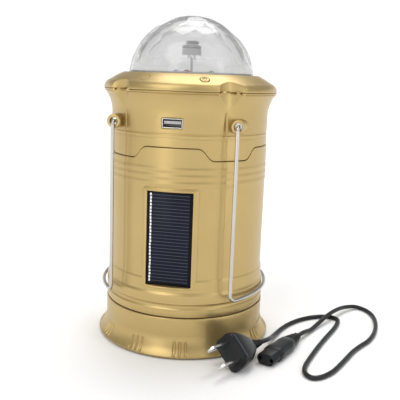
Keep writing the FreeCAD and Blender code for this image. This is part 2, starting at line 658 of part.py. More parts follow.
def head_floor():
    rim = "shell_bore - 0.15"
    plate = turned("floor_blank", [
        ("7", "floor_level"), (rim, "floor_level"), (rim, "floor_level + floor_rim"),
        (rim + " - 1.6", "floor_level + floor_rim"), (rim + " - 1.6", "floor_level + floor_plate"),
        ("7", "floor_level + floor_plate"),
    ])
    holes = []
    screws = []
    for number, angle in enumerate(POST_ANGLES):
        spot = around("well_radius - 0.5", angle, "floor_level")
        holes.append(cylinder("floor_screw_clear_%d" % number, "screw_radius + 0.2", "floor_plate", spot))
        head = cylinder("head_screw_head_%d" % number, "screw_head", "1.6",
                        around("well_radius - 0.5", angle, "floor_level - 1.6"))
        shank = cylinder("head_screw_shank_%d" % number, "screw_radius", "32",
                         around("well_radius - 0.5", angle, "floor_level - 0.5"))
        screws.append(joined("head_screw_%d" % number, [head, shank]))
    node(cut("head_floor", plate, holes), "head_floor")
    node(group("head_screws", screws), "head_screws")


POST_ANGLES = ("66", "114", "-66", "-114")


def usb_parts():
    front = "-(head_radius - 1.2)"
    back = front + " + usb_depth"
    low = "usb_level - 2.95"
    high = "usb_level + 2.95"
    outer = box("usb_outer", ("-6.6", front, low), ("6.6", back, high))
    inner = box("usb_inner", ("-6.3", front + " - 1", low + " + 0.3"),
                ("6.3", back + " - 0.4", high + " - 0.3"))
    node(cut("usb_shell", outer, [inner]), "usb_shell")
    tongue = box("usb_tongue_bar", ("-5.5", front + " + 1", "usb_level - 0.4"),
                 ("5.5", back + " - 3.4", "usb_level + 1.4"))
    root = box("usb_tongue_root", ("-6.25", back + " - 3.4", low + " + 0.35"),
               ("6.25", back + " - 0.4", high + " - 0.35"))
    node(joined("usb_tongue", [tongue, root]), "usb_tongue")
    node(box("usb_board", ("-12", front + " + 3", low + " - board_thick"), ("12", front + " + 26", low)),
         "usb_board")


# ---------------------------------------------------------------- top cap, stage light and dome
def shoulder_frame(angle, circle="button_circle"):
    """The place and the outward direction of a spot on the cap's sloping shoulder."""
    run = value("shoulder_radius - well_radius")
    drop = value("cap_level - shoulder_level")
    out = FreeCAD.Vector(drop, 0, run).normalize()
    radius = value(circle)
    level = value("shoulder_level") + (value("shoulder_radius") - radius) * drop / run
    about = FreeCAD.Rotation(FreeCAD.Vector(0, 0, 1), value(angle) - 90)
    lean = FreeCAD.Rotation(FreeCAD.Vector(0, 0, 1), out)
    spot = about.multVec(FreeCAD.Vector(radius, 0, level))
    return FreeCAD.Placement(spot, about.multiply(lean))


def on_shoulder(name, kind, angle, start, sizes):
    """A primitive whose axis leaves the shoulder squarely, from a depth below the surface."""
    thing = bind(doc.addObject(kind, name), **sizes)
    frame = shoulder_frame(angle)
    frame.Base = frame.Base + frame.Rotation.multVec(FreeCAD.Vector(0, 0, value(start)))
    thing.Placement = frame
    return thing


MARK_ANGLES = ("-button_angle", "75", "105", "180 - button_angle", "180 + button_angle", "-75", "-105")


def top_cap():
    low = "rim_level + 0.25"
    outline = [
        ("rim_radius - cap_wall", low),
        ("rim_radius", low),
        ("shoulder_radius", "shoulder_level", "shoulder_round", "left"),
        ("well_radius", "cap_level", "crown_round", "left"),
        ("well_radius", "cap_level - 4.3"),
        ("well_radius", "cap_level - well_depth + well_ledge - 0.7"),
        ("well_radius - well_ledge", "cap_level - well_depth + well_ledge - 0.7"),
        ("well_radius - well_ledge", "cap_level - well_depth"),
        ("well_radius + well_wall", "cap_level - well_depth"),
        ("well_radius + well_wall", "cap_level - 3.4"),
        ("shoulder_radius - 1.0", "shoulder_level - cap_wall - 0.1"),
        ("rim_radius - cap_wall", "rim_level + 2.2"),
    ]
    blank = turned("cap_blank", outline)
    posts = []
    bores = []
    for number, angle in enumerate(POST_ANGLES):
        foot = around("well_radius - 0.5", angle, "floor_level + floor_rim + 0.5")
        tall = "cap_level - well_depth - floor_level - floor_rim + 0.5"
        posts.append(cylinder("cap_post_%d" % number, "post_radius", tall, foot))
        bores.append(cylinder("cap_post_bore_%d" % number, "screw_radius", "floor_rim - 4", foot))
    outer = turned("cap_outer", [
        ("0", low), ("rim_radius", low), ("shoulder_radius", "shoulder_level", "shoulder_round", "left"),
        ("well_radius", "cap_level", "crown_round", "left"), ("0", "cap_level"),
    ])
    walls = scallops("cap_scallop_wall", "cap_wall")
    channel = common("cap_channel_walls", outer, joined("cap_channels", walls))
    lined = cut("cap_lined", joined("cap_joined", [blank, channel]), scallops("cap_scallop", "0"))
    hole = on_shoulder("button_hole", "Part::Cylinder", "button_angle", "-6",
                       {"Radius": "button_radius + button_gap", "Height": "9"})
    marks = []
    for angle in MARK_ANGLES:
        ring = on_shoulder("mark_out", "Part::Cylinder", angle, "-0.6",
                           {"Radius": "button_radius + button_gap", "Height": "3"})
        core = on_shoulder("mark_in", "Part::Cylinder", angle, "-0.6",
                           {"Radius": "button_radius", "Height": "3"})
        marks.append(cut("mark_ring", ring, [core]))
    shell = cut("cap_shell", lined, [hole] + marks)
    node(cut("top_cap", joined("cap_with_posts", [shell] + posts), bores), "top_cap")


def button_parts():
    stem = on_shoulder("button_stem", "Part::Cylinder", "button_angle", "-3.3",
                       {"Radius": "button_radius", "Height": "3.8"})
    flange = on_shoulder("button_flange", "Part::Cylinder", "button_angle", "-3.4",
                         {"Radius": "button_radius + 0.9", "Height": "0.9"})
    node(joined("power_button", [stem, flange]), "power_button")
    plunger = on_shoulder("switch_plunger", "Part::Cylinder", "button_angle", "-5.6",
                          {"Radius": "1.6", "Height": "1.15"})
    case = on_shoulder("switch_case", "Part::Cylinder", "button_angle", "-8.6",
                       {"Radius": "3.0", "Height": "3.0"})
    node(joined("tact_switch", [case, plunger]), "tact_switch")
    board = on_shoulder("switch_board_plate", "Part::Cylinder", "button_angle", "-10.2",
                        {"Radius": "4.6", "Height": "board_thick"})
    node(board, "switch_board")


def stage_parts():
    """The deck under the dome with its coloured lamps and the small motor that turns the dome."""
    low = "cap_level - well_depth + well_ledge - 0.7"
    top = low + " + deck_disc"
    disc = cylinder("stage_deck_disc", "well_radius - 0.2", "deck_disc", ("0", "0", low))
    shaft_hole = cylinder("stage_shaft_hole", "shaft_radius + 0.8", "deck_disc", ("0", "0", low))
    node(cut("stage_deck", disc, [shaft_hole]), "stage_deck")
    board = cylinder("stage_board_disc", "24", "board_thick", ("0", "0", top))
    board_hole = cylinder("stage_board_hole", "4", "board_thick", ("0", "0", top))
    node(cut("stage_board", board, [board_hole]), "stage_board")
    for name, angle in (("red_lamp", "0"), ("green_lamp", "120"), ("blue_lamp", "240")):
        foot = around("15", angle, top + " + board_thick")
        base = cylinder(name + "_base", "4", "2", foot)
        lens = doc.addObject("Part::Sphere", name + "_lens")
        bind(lens, Radius="3")
        lens.Angle1 = 0
        place(lens, around("15", angle, top + " + board_thick + 2"))
        node(joined(name, [base, lens]), name)
    can = cylinder("motor_can", "motor_radius", low + " - 0.1 - motor_low", ("0", "0", "motor_low"))
    bore = cylinder("motor_bore", "shaft_radius + run_gap", "30", ("0", "0", "motor_low + 8"))
    node(cut("dome_motor", can, [bore]), "dome_motor")
    strap = box("strap_bar", ("-20", "-4", low + " - 5"), ("20", "4", low + " - 3.4"))
    strap_hole = cylinder("strap_hole", "motor_radius", "30", ("0", "0", "motor_low"))
    ends = [box("strap_end", (inner, "-4", low + " - 4"), (outer, "4", low))
            for inner, outer in (("-20", "-18"), ("18", "20"))]
    node(cut("motor_strap", joined("strap_solid", [strap] + ends), [strap_hole]), "motor_strap")


def dome_parts():
    foot = "dome_foot"
    outer_foot = "sqrt(dome_radius^2 - (dome_foot + dome_flange_height - dome_centre)^2)"
    inner = "(dome_radius - dome_wall)"
    inner_foot = "sqrt(%s^2 - (dome_foot - dome_centre)^2)" % inner
    apex = "dome_centre + dome_radius"
    hollow_top = "dome_centre + sqrt(%s^2 - shaft_radius^2)" % inner
    lens = turned("dome_lens", [
        (inner_foot, foot, inner, "right"),
        ("dome_flange", foot),
        ("dome_flange", foot + " + dome_flange_height"),
        (outer_foot, foot + " + dome_flange_height"),
        ("0", apex, "dome_radius", "left"),
        ("0", "hub_high"),
        ("shaft_radius", "hub_high"),
        ("shaft_radius", hollow_top),
    ])
    node(lens, "dome_lens")
    node(turned("dome_hub", [
        ("0", "hub_high"),
        ("0", "hub_high - 3"),
        ("shaft_radius", "hub_high - 3"),
        ("shaft_radius", "hub_low"),
        ("hub_radius", "hub_low"),
        ("hub_radius", "hub_high - hub_edge"),
        ("hub_radius - hub_edge", "hub_high", "hub_edge", "left"),
    ]), "dome_hub")
    seat_low = "motor_low + 8.3"
    shaft = cylinder("dome_shaft", "shaft_radius", "hub_high - 3 - (" + seat_low + ")", ("0", "0", seat_low))
    node(shaft, "dome_shaft")


# ---------------------------------------------------------------- wire bails
def bail(label, side):
    """One bent wire: hooked ends in the bushes, straight legs and a crossbar bowed round the sleeve."""
    pivot, level, leg = value("pivot_half"), value("pivot_level"), value("leg_half")
    corner, hook = value("bail_corner"), value("hook_round")
    low = level - value("bail_drop")
    lean = 2 * math.atan((value("bail_bow") - pivot) / (leg + corner))
    heading = FreeCAD.Vector(math.sin(lean), math.cos(lean), 0)
    foot = FreeCAD.Vector(pivot, -leg, low)
    leave = foot + heading * corner
    inner = FreeCAD.Vector(pivot, -leg + value("hook_length"), level)
    top = FreeCAD.Vector(pivot, -leg, level)

    def bend(point, before, after, radius):
        a = point + before * radius
        b = point + after * radius
        centre = a + after * radius
        mid = centre + (point - centre).normalize() * radius
        return a, mid, b

    down = FreeCAD.Vector(0, 0, -1)
    hook_arc = bend(top, FreeCAD.Vector(0, 1, 0), down, hook)
    corner_arc = bend(foot, down * -1, heading, corner)
    half = [
        Part.LineSegment(inner, hook_arc[0]).toShape(),
        Part.Arc(*hook_arc).toShape(),
        Part.LineSegment(hook_arc[2], corner_arc[0]).toShape(),
        Part.Arc(*corner_arc).toShape(),
    ]
    bow = FreeCAD.Vector(value("bail_bow"), 0, low)
    far = FreeCAD.Vector(leave.x, -leave.y, low)
    edges = half + [Part.Arc(leave, bow, far).toShape()]

    def other(point):
        return FreeCAD.Vector(point.x, -point.y, point.z)

    edges += [
        Part.Arc(other(corner_arc[2]), other(corner_arc[1]), other(corner_arc[0])).toShape(),
        Part.LineSegment(other(corner_arc[0]), other(hook_arc[2])).toShape(),
        Part.Arc(other(hook_arc[2]), other(hook_arc[1]), other(hook_arc[0])).toShape(),
        Part.LineSegment(other(hook_arc[0]), other(inner)).toShape(),
    ]
    wire = swept_round(Part.Wire(edges), value("wire_radius"))
    if side < 0:
        wire = wire.mirror(FreeCAD.Vector(0, 0, 0), FreeCAD.Vector(1, 0, 0))
    return node(made(label, wire), label)


# ---------------------------------------------------------------- mains lead
# Middle line of the loose lead, from the back of the mains plug to the back of the connector.
CORD_ROUTE = [
    (61.65, -37.55, 8.7), (66.6, -28.2, 7.5), (68.3, -11.0, 2.4), (75.5, 14.0, 1.6), (87.0, 32.0, 1.6),
    (103.0, 44.0, 1.6), (117.0, 42.5, 1.6), (114.8, 25.0, 1.6), (105.5, -3.0, 1.6), (97.5, -32.0, 1.6),
    (91.5, -58.0, 1.6), (98.5, -69.0, 1.6), (110.0, -58.0, 1.6), (118.5, -37.0, 1.6), (127.0, -14.0, 1.6),
    (139.5, 6.0, 1.6), (145.5, 34.0, 1.6), (144.0, 61.0, 1.6), (132.5, 74.5, 1.7), (121.0, 62.0, 4.4),
    (113.5, 48.0, 5.8), (107.0, 34.5, 5.6), (99.5, 20.5, 2.5), (95.3, 10.3, 1.9), (90.3, 0.1, 4.2),
    (86.2, -9.5, 4.5),
]
PLUG_FACE = (46.0, -67.0, 12.2)
PLUG_HEADING, PLUG_TILT, PLUG_ROLL = -118.0, 6.0, -41.0
COUPLER_NOSE = (67.3, -54.5, 4.5)


def rounded_block(sections):
    """A loft through rounded rectangles (place along X, width, height, corner)."""
    wires = []
    for along, width, height, corner in sections:
        y, z = width / 2, height / 2
        edges = []
        spots = [(y, z), (-y, z), (-y, -z), (y, -z)]
        for number, (a, b) in enumerate(spots):
            sa, sb = math.copysign(1, a), math.copysign(1, b)
            centre = FreeCAD.Vector(along, a - sa * corner, b - sb * corner)
            side = centre + FreeCAD.Vector(0, sa * corner, 0)
            crown = centre + FreeCAD.Vector(0, 0, sb * corner)
            mid = centre + FreeCAD.Vector(0, sa, sb).normalize() * corner
            first, last = (side, crown) if number % 2 == 0 else (crown, side)
            edges.append((first, mid, last))
        loop = []
        for number, (first, mid, last) in enumerate(edges):
            loop.append(Part.Arc(first, mid, last).toShape())
            loop.append(Part.LineSegment(last, edges[(number + 1) % 4][0]).toShape())
        wires.append(Part.Wire(loop))
    return Part.makeLoft(wires, True, True)


def lead():
    route = [FreeCAD.Vector(*point) for point in CORD_ROUTE]
    path = rounded_path(route)
    tube = swept_round(path, value("cord_diameter") / 2)
    node(made("lead_cord", tube), "lead_cord")

    heading = FreeCAD.Rotation(FreeCAD.Vector(0, 0, 1), PLUG_HEADING)
    tilt = FreeCAD.Rotation(FreeCAD.Vector(0, 1, 0), -PLUG_TILT)
    roll = FreeCAD.Rotation(FreeCAD.Vector(1, 0, 0), PLUG_ROLL)
    pose = FreeCAD.Placement(FreeCAD.Vector(*PLUG_FACE), heading.multiply(tilt).multiply(roll))
    length, width, height = value("plug_length"), value("plug_width"), value("plug_height")
    neck = value("plug_neck")
    plug = rounded_block([
        (0, width, height, 4.5), (-length * 0.5, width * 0.86, height * 0.86, 4.2),
        (-length, width * 0.46, height * 0.5, 3.6)])
    tail = Part.makeCone(4.0, value("cord_diameter") / 2 + 0.7, neck,
                         FreeCAD.Vector(-length + 0.5, 0, 0), FreeCAD.Vector(-1, 0, 0))
    body = plug.fuse(tail)
    pitch, wide, thick = value("blade_pitch"), value("blade_width"), value("blade_thick")
    blades = []
    for side in (-1, 1):
        corner = FreeCAD.Vector(-5, side * pitch / 2 - thick / 2, -wide / 2)
        blades.append(Part.makeBox(5 + value("blade_length"), thick, wide, corner))
    body = body.cut(Part.makeCompound(blades))
    thing = made("mains_plug", body)
    thing.Placement = pose
    node(thing, "mains_plug")
    thing = made("plug_blades", Part.makeCompound(blades))
    thing.Placement = pose
    node(thing, "plug_blades")

    nose = FreeCAD.Vector(*COUPLER_NOSE)
    away = route[-1] - nose
    across, deep = value("coupler_width"), value("coupler_height")
    size = value("coupler_length")
    turn = FreeCAD.Rotation(FreeCAD.Vector(0, 0, 1), math.degrees(math.atan2(away.y, away.x)))
    grip = away.Length - size
    coupler = rounded_block([
        (0, value("coupler_nose"), 8.0, 3.9), (10, value("coupler_nose"), 8.0, 3.9),
    ])
    coupler = coupler.fuse(rounded_block([(10, across, deep, 3.4), (size, across * 0.86, deep * 0.9, 3.4)]))
    tail = rounded_block([(size, across * 0.72, deep * 0.8, 3), (size + grip, 6.4, 5.4, 2.4)])
    coupler = coupler.fuse(tail)
    holes = [Part.makeCylinder(1.4, 9.5, FreeCAD.Vector(0, side * value("pin_pitch") / 2, 0),
                               FreeCAD.Vector(1, 0, 0)) for side in (-1, 1)]
    coupler = coupler.cut(Part.makeCompound(holes))
    thing = made("lead_connector", coupler)
    thing.Placement = FreeCAD.Placement(nose, turn)
    node(thing, "lead_connector")


# ---------------------------------------------------------------- build, check and write
base_shell()
bottom_parts()
socket_parts()
power_parts()
lamp_parts()
sleeve()
head_shell()
head_floor()
usb_parts()
top_cap()
button_parts()
stage_parts()
dome_parts()
bail("right_bail", 1)
bail("left_bail", -1)
lead()
doc.recompute()

for thing in doc.Objects:
    if "Invalid" in thing.State or "Error" in thing.State:
        raise RuntimeError("%s (%s) failed: %s" % (thing.Name, thing.Label, thing.State))
os.makedirs("parts", exist_ok=True)
for thing in nodes:
    shape = thing.Shape
    if shape.isNull() or not shape.isValid() or shape.Volume <= 0:
        raise RuntimeError("%s has no valid shape" % thing.Label)
    print("%-18s solids %2d volume %9.1f" % (thing.Label, len(shape.Solids), shape.Volume))
for thing in nodes:
    thing.Shape.exportStep("parts/%s.step" % thing.Label)
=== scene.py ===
import math
import random

import bpy
from mathutils import Matrix, Quaternion, Vector


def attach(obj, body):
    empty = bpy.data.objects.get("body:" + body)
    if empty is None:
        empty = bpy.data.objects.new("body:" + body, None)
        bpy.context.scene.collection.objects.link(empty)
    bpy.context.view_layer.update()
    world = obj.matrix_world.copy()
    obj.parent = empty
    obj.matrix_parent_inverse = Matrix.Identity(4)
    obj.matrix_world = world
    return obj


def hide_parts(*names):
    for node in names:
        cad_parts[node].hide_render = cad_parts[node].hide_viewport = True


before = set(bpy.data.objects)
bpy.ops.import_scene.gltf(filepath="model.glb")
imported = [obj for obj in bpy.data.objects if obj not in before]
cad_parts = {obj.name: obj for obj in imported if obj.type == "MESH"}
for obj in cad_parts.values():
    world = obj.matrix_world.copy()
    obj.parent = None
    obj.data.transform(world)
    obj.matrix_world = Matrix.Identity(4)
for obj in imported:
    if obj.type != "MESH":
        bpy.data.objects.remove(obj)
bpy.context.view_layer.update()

# Solar camping lantern: gold shells, crystal dome, solar panel, wire bails and a loose mains lead.
# Sizes are in millimetres and degrees, and MM takes them to metres.
# Angles round the body are counted from the front (-Y) towards +X.
MM = 0.001
# A turned piece is spun as one sector and copied round.
SECTORS = 12

# ---------------------------------------------------------------- shared sizes
FOOT_RADIUS, BASE_RADIUS, BASE_TOP, FLARE_ROUND = 62.9, 57.4, 27.0, 17.6
RIB_GROUPS, RIB_FIRST, RIB_PITCH = 12, 10.2, 3.7
DOOR_START, DOOR_END, DOOR_SILL = 77.67, 103.67, 12.5
BODY_RADIUS, SKIRT_RADIUS = 55.3, 57.2
BEAD_FIRST, BEAD_PITCH, BEAD_HALF, BEAD_ROUND = 117.2, 4.5, 1.7, 4.3
HEAD_RADIUS, NECK_LEVEL, RIM_LEVEL = 54.9, 160.0, 176.0
SEAM_HIGH = 140.2
SEAM_DROP = 8.0
DIP_ANGLES = (42.2, 137.8, -42.2, -137.8)
DIP_HALF_LOW, DIP_HALF_HIGH = 14.2, 20.4
JOIN_GAP, EDGE_ROUND = 0.3, 0.55
FLUTE_ANGLES = (37.0, -37.0, 143.0, -143.0)
FLUTE_WIDTH, FLUTE_DEPTH = 1.3, 0.5
SCALLOP_ANGLES = (38.5, -38.5, 141.5, -141.5)
SCALLOP_RADIUS, SCALLOP_DEPTH = 13.4, 55.5
WINDOW_HALF, WINDOW_LOW, WINDOW_HIGH = 15.4, 48.1, 111.8
PANEL_FACE = 52.9
USB_LEVEL, USB_WIDTH, USB_HEIGHT = 155.9, 13.8, 6.6
BUTTON_ANGLE, BUTTON_CIRCLE, BUTTON_RADIUS = 21.0, 53.6, 2.85
MARK_ANGLES = (-BUTTON_ANGLE, 75, 105, 180 - BUTTON_ANGLE, 180 + BUTTON_ANGLE, -75, -105)
CAP_LEVEL, WELL_RADIUS = 187.6, 46.3
SHOULDER_RADIUS, SHOULDER_LEVEL = 56.2, 182.3
DOME_RADIUS, DOME_CENTRE, DOME_FOOT = 43.8, 182.8, 186.3
CROWN_RADIUS, CROWN_RIPPLE = 9, 0.22


# ---------------------------------------------------------------- helpers for modelling
def clear():
    """Leave edit mode with nothing selected."""
    if bpy.context.mode != "OBJECT":
        bpy.ops.object.mode_set(mode="OBJECT")
    bpy.ops.object.select_all(action="DESELECT")


def pick(piece):
    """Select one piece alone."""
    clear()
    piece.select_set(True)
    bpy.context.view_layer.objects.active = piece


def edit(piece):
    """Edit one piece with all of it selected."""
    pick(piece)
    bpy.ops.object.mode_set(mode="EDIT")
    bpy.ops.mesh.select_all(action="SELECT")


def tidy(piece, gap=1e-6):
    """Merge doubles and turn the faces outwards."""
    edit(piece)
    bpy.ops.mesh.remove_doubles(threshold=gap)
    bpy.ops.mesh.dissolve_degenerate()
    bpy.ops.mesh.select_all(action="SELECT")
    bpy.ops.mesh.normals_make_consistent(inside=False)
    clear()
    return piece


def apply(piece, kind, name, **settings):
    """Add a modifier and apply it."""
    pick(piece)
    modifier = piece.modifiers.new(name, kind)
    for key, setting in settings.items():
        setattr(modifier, key, setting)
    bpy.ops.object.modifier_apply(modifier=name)
    return piece


def carve(piece, cutter):
    """Cut one piece with another, which goes."""
    apply(piece, "BOOLEAN", "carve", operation="DIFFERENCE", solver="EXACT", object=cutter)
    bpy.data.objects.remove(cutter)
    return piece


def smooth(piece, limit=32):
    """Shade a piece smoothly, with edges sharper than the limit kept crisp."""
    pick(piece)
    bpy.ops.object.shade_smooth_by_angle(angle=math.radians(limit))
    clear()
    return piece


def merged(name, pieces):
    """Several pieces made one."""
    clear()
    for piece in pieces:
        piece.select_set(True)
    bpy.context.view_layer.objects.active = pieces[0]
    bpy.ops.object.join()
    pieces[0].name = name
    clear()
    return pieces[0]


def copy_of(piece, turn):
    """A copy with its own mesh, moved by a matrix."""
    twin = piece.copy()
    twin.data = piece.data.copy()
    bpy.context.scene.collection.objects.link(twin)
    twin.data.transform(turn)
    if turn.determinant() < 0:
        twin.data.flip_normals()
    return twin


def turn_z(angle):
    return Matrix.Rotation(math.radians(angle), 4, "Z")


def arc(start, end, radius, side, steps=8):
    """Points after start on the arc to end; the side is where its centre is, left or right."""
    a, b = Vector(start), Vector(end)
    chord = b - a
    half = chord.length / 2
    across = Vector((-chord.y, chord.x)).normalized() * (1 if side == "left" else -1)
    centre = (a + b) / 2 + across * math.sqrt(max(radius ** 2 - half ** 2, 0))
    first = math.atan2(a.y - centre.y, a.x - centre.x)
    swing = math.atan2(b.y - centre.y, b.x - centre.x) - first
    swing = (swing + math.pi) % math.tau - math.pi
    return [(centre.x + radius * math.cos(first + swing * step / steps),
             centre.y + radius * math.sin(first + swing * step / steps))
            for step in range(1, steps + 1)]


def line(start, end, steps):
    """Points after start on the straight line to end."""
    return [tuple(Vector(start).lerp(Vector(end), step / steps)) for step in range(1, steps + 1)]


def turned(name, outline, steps=180, closed=True):
    """A piece turned round the upright axis from an outline of (radius, height) points."""
    clear()
    bpy.ops.mesh.primitive_circle_add(vertices=len(outline))
    piece = bpy.context.object
    piece.name = name
    for vertex, (radius, height) in zip(piece.data.vertices, outline):
        vertex.co = (0, -radius * MM, height * MM)
    if not closed:
        ends = {0, len(outline) - 1}
        bpy.ops.object.mode_set(mode="EDIT")
        bpy.ops.mesh.select_mode(type="EDGE")
        bpy.ops.mesh.select_all(action="DESELECT")
        bpy.ops.object.mode_set(mode="OBJECT")
        for edge in piece.data.edges:
            edge.select = set(edge.vertices) == ends
        bpy.ops.object.mode_set(mode="EDIT")
        bpy.ops.mesh.delete(type="EDGE")
        bpy.ops.mesh.select_mode(type="VERT")
    edit(piece)
    bpy.ops.mesh.spin(steps=steps // SECTORS, angle=math.tau / SECTORS, center=(0, 0, 0), axis=(0, 0, 1))
    clear()
    sectors = [copy_of(piece, turn_z(360 / SECTORS * number)) for number in range(1, SECTORS)]
    tidy(merged(name, [piece] + sectors))
    if not closed:
        face_outwards(piece)
    return piece


def face_outwards(piece):
    """Turn an open skin over if its faces look towards the axis."""
    outward = sum(face.area * (face.normal.x * face.center.x + face.normal.y * face.center.y)
                  for face in piece.data.polygons)
    if outward < 0:
        piece.data.flip_normals()


def shaped(piece, rule):
    """Move each point of a turned piece: the rule takes and gives radius, angle and height."""
    for vertex in piece.data.vertices:
        x, y, z = vertex.co / MM
        radius, angle = math.hypot(x, y), math.degrees(math.atan2(x, -y))
        radius, level = rule(radius, angle, z)
        bearing = math.radians(angle)
        vertex.co = Vector((radius * math.sin(bearing), -radius * math.cos(bearing), level)) * MM
    piece.data.update()
    return piece


def lofted(name, loops, ends=True, closed=False):
    """A skin begun as a ring of points and extruded from each loop to the next."""
    clear()
    count = len(loops[0])
    bpy.ops.mesh.primitive_circle_add(vertices=count)
    piece = bpy.context.object
    piece.name = name
    for vertex, point in zip(piece.data.vertices, loops[0]):
        vertex.co = Vector(point) * MM
    order = list(range(count))
    for loop in loops[1:]:
        bpy.ops.object.mode_set(mode="EDIT")
        bpy.ops.mesh.select_mode(type="VERT")
        bpy.ops.mesh.select_all(action="DESELECT")
        bpy.ops.object.mode_set(mode="OBJECT")
        for number in order:
            piece.data.vertices[number].select = True
        bpy.ops.object.mode_set(mode="EDIT")
        bpy.ops.mesh.select_mode(type="EDGE")
        bpy.ops.mesh.extrude_region_move()
        bpy.ops.mesh.select_mode(type="VERT")
        bpy.ops.object.mode_set(mode="OBJECT")
        old = len(piece.data.vertices) - count
        above = {}
        for edge in piece.data.edges:
            low, high = sorted(edge.vertices)
            if low < old <= high:
                above[low] = high
        order = [above[number] for number in order]
        for number, point in zip(order, loop):
            piece.data.vertices[number].co = Vector(point) * MM
    if ends and not closed:
        for rim in (range(count), order):
            bpy.ops.object.mode_set(mode="EDIT")
            bpy.ops.mesh.select_mode(type="VERT")
            bpy.ops.mesh.select_all(action="DESELECT")
            bpy.ops.object.mode_set(mode="OBJECT")
            for number in rim:
                piece.data.vertices[number].select = True
            bpy.ops.object.mode_set(mode="EDIT")
            bpy.ops.mesh.edge_face_add()
            bpy.ops.object.mode_set(mode="OBJECT")
    return tidy(piece)


def rectangle(half_x, half_y, corner, steps=4):
    """Points round a rectangle with rounded corners, in its own plane."""
    points = []
    for quarter, (sx, sy) in enumerate(((1, 1), (-1, 1), (-1, -1), (1, -1))):
        for step in range(steps + 1):
            angle = math.radians(90 * (quarter + step / steps))
            points.append((sx * (half_x - corner) + corner * math.cos(angle),
                           sy * (half_y - corner) + corner * math.sin(angle)))
    return points


def block(name, low, high, round_by=0.3, steps=2):
    """A box between two corners with rounded edges."""
    clear()
    bpy.ops.mesh.primitive_cube_add(size=1)
    piece = bpy.context.object
    piece.name = name
    for vertex in piece.data.vertices:
        vertex.co = [(low[k] + (vertex.co[k] + 0.5) * (high[k] - low[k])) * MM for k in range(3)]
    if round_by:
        edit(piece)
        bpy.ops.mesh.bevel(offset=round_by * MM, segments=steps, affect="EDGES")
        clear()
    return piece


def lay(piece, body, finish, instead=()):
    """Give a piece its finish and the body that it moves with."""
    piece.data.materials.clear()
    piece.data.materials.append(finish)
    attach(piece, body)
    if instead:
        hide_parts(*instead)
    return piece


# ---------------------------------------------------------------- finishes
def new_finish(name):
    finish = bpy.data.materials.new(name)
    finish.use_nodes = True
    return finish, finish.node_tree.nodes, finish.node_tree.links, finish.node_tree.nodes["Principled BSDF"]


def moulded(name, light, dark, rough, spread=0.06, metal=0.0, clouds=22.0, grain=1400.0, relief=0.05,
            **sockets):
    """A moulded, painted or plated finish: two close shades in soft clouds and a fine grain."""
    finish, nodes, links, shader = new_finish(name)
    place = nodes.new("ShaderNodeTexCoord")
    cloud = nodes.new("ShaderNodeTexNoise")
    cloud.inputs["Scale"].default_value = clouds
    cloud.inputs["Detail"].default_value = 3
    speck = nodes.new("ShaderNodeTexNoise")
    speck.inputs["Scale"].default_value = grain
    speck.inputs["Detail"].default_value = 2
    links.new(place.outputs["Object"], cloud.inputs["Vector"])
    links.new(place.outputs["Object"], speck.inputs["Vector"])
    blend = nodes.new("ShaderNodeMix")
    blend.data_type = "RGBA"
    blend.inputs["A"].default_value = (*dark, 1)
    blend.inputs["B"].default_value = (*light, 1)
    share = nodes.new("ShaderNodeMath")
    share.operation = "MULTIPLY_ADD"
    links.new(speck.outputs["Fac"], share.inputs[0])
    share.inputs[1].default_value = 0.35
    links.new(cloud.outputs["Fac"], share.inputs[2])
    share.use_clamp = True
    links.new(share.outputs[0], blend.inputs["Factor"])
    links.new(blend.outputs["Result"], shader.inputs["Base Color"])
    gloss = nodes.new("ShaderNodeMapRange")
    gloss.inputs["To Min"].default_value = rough - spread
    gloss.inputs["To Max"].default_value = rough + spread
    links.new(speck.outputs["Fac"], gloss.inputs["Value"])
    links.new(gloss.outputs["Result"], shader.inputs["Roughness"])
    bump = nodes.new("ShaderNodeBump")
    bump.inputs["Strength"].default_value = relief
    bump.inputs["Distance"].default_value = 0.0002
    links.new(speck.outputs["Fac"], bump.inputs["Height"])
    links.new(bump.outputs["Normal"], shader.inputs["Normal"])
    shader.inputs["Metallic"].default_value = metal
    for key, setting in sockets.items():
        shader.inputs[key.replace("_", " ")].default_value = setting
    return finish


GOLD = moulded("satin_gold_paint", (0.52, 0.380, 0.155), (0.45, 0.325, 0.125), 0.36, 0.05, metal=0.75,
               relief=0.06, Coat_Weight=0.15, Coat_Roughness=0.3)
# A darker gold: the printed power mark on the button, and painted shade in the ring-mark grooves round the
# cap.
GOLD_PRINT_AND_GROOVE_SHADE = moulded("dark_gold_print_and_painted_groove_shade", (0.17, 0.10, 0.035), (0.12, 0.07, 0.025), 0.55, metal=0.3)
CLEAR = moulded("clear_dome_plastic", (0.90, 0.90, 0.90), (0.84, 0.84, 0.84), 0.07, 0.03, relief=0.02,
                Transmission_Weight=0.86, IOR=1.40)
TUBE_CLEAR = moulded("clear_lamp_plastic", (0.95, 0.96, 0.96), (0.91, 0.92, 0.92), 0.12, 0.04,
                     relief=0.02, Transmission_Weight=0.95, IOR=1.3)
WHITE = moulded("white_plastic", (0.80, 0.80, 0.79), (0.72, 0.72, 0.71), 0.48)
GREY = moulded("pale_grey_plastic", (0.44, 0.44, 0.45), (0.38, 0.38, 0.39), 0.42)
DARK_GREY = moulded("dark_grey_plastic", (0.17, 0.17, 0.18), (0.13, 0.13, 0.14), 0.42)
BLACK = moulded("black_plastic", (0.014, 0.015, 0.017), (0.009, 0.010, 0.011), 0.36, 0.08, relief=0.12,
               Specular_IOR_Level=0.25)
CORD = moulded("black_cord_jacket", (0.015, 0.016, 0.018), (0.010, 0.011, 0.012), 0.38, 0.08, relief=0.1,
              Specular_IOR_Level=0.3)
RUBBER = moulded("black_rubber", (0.03, 0.03, 0.03), (0.02, 0.02, 0.02), 0.75, relief=0.2)
NICKEL = moulded("nickel_wire", (0.56, 0.54, 0.51), (0.46, 0.44, 0.41), 0.16, 0.06, metal=1.0,
                 grain=2600.0, relief=0.04)
STEEL = moulded("zinc_plated_steel", (0.58, 0.58, 0.60), (0.47, 0.47, 0.49), 0.34, 0.08, metal=1.0)
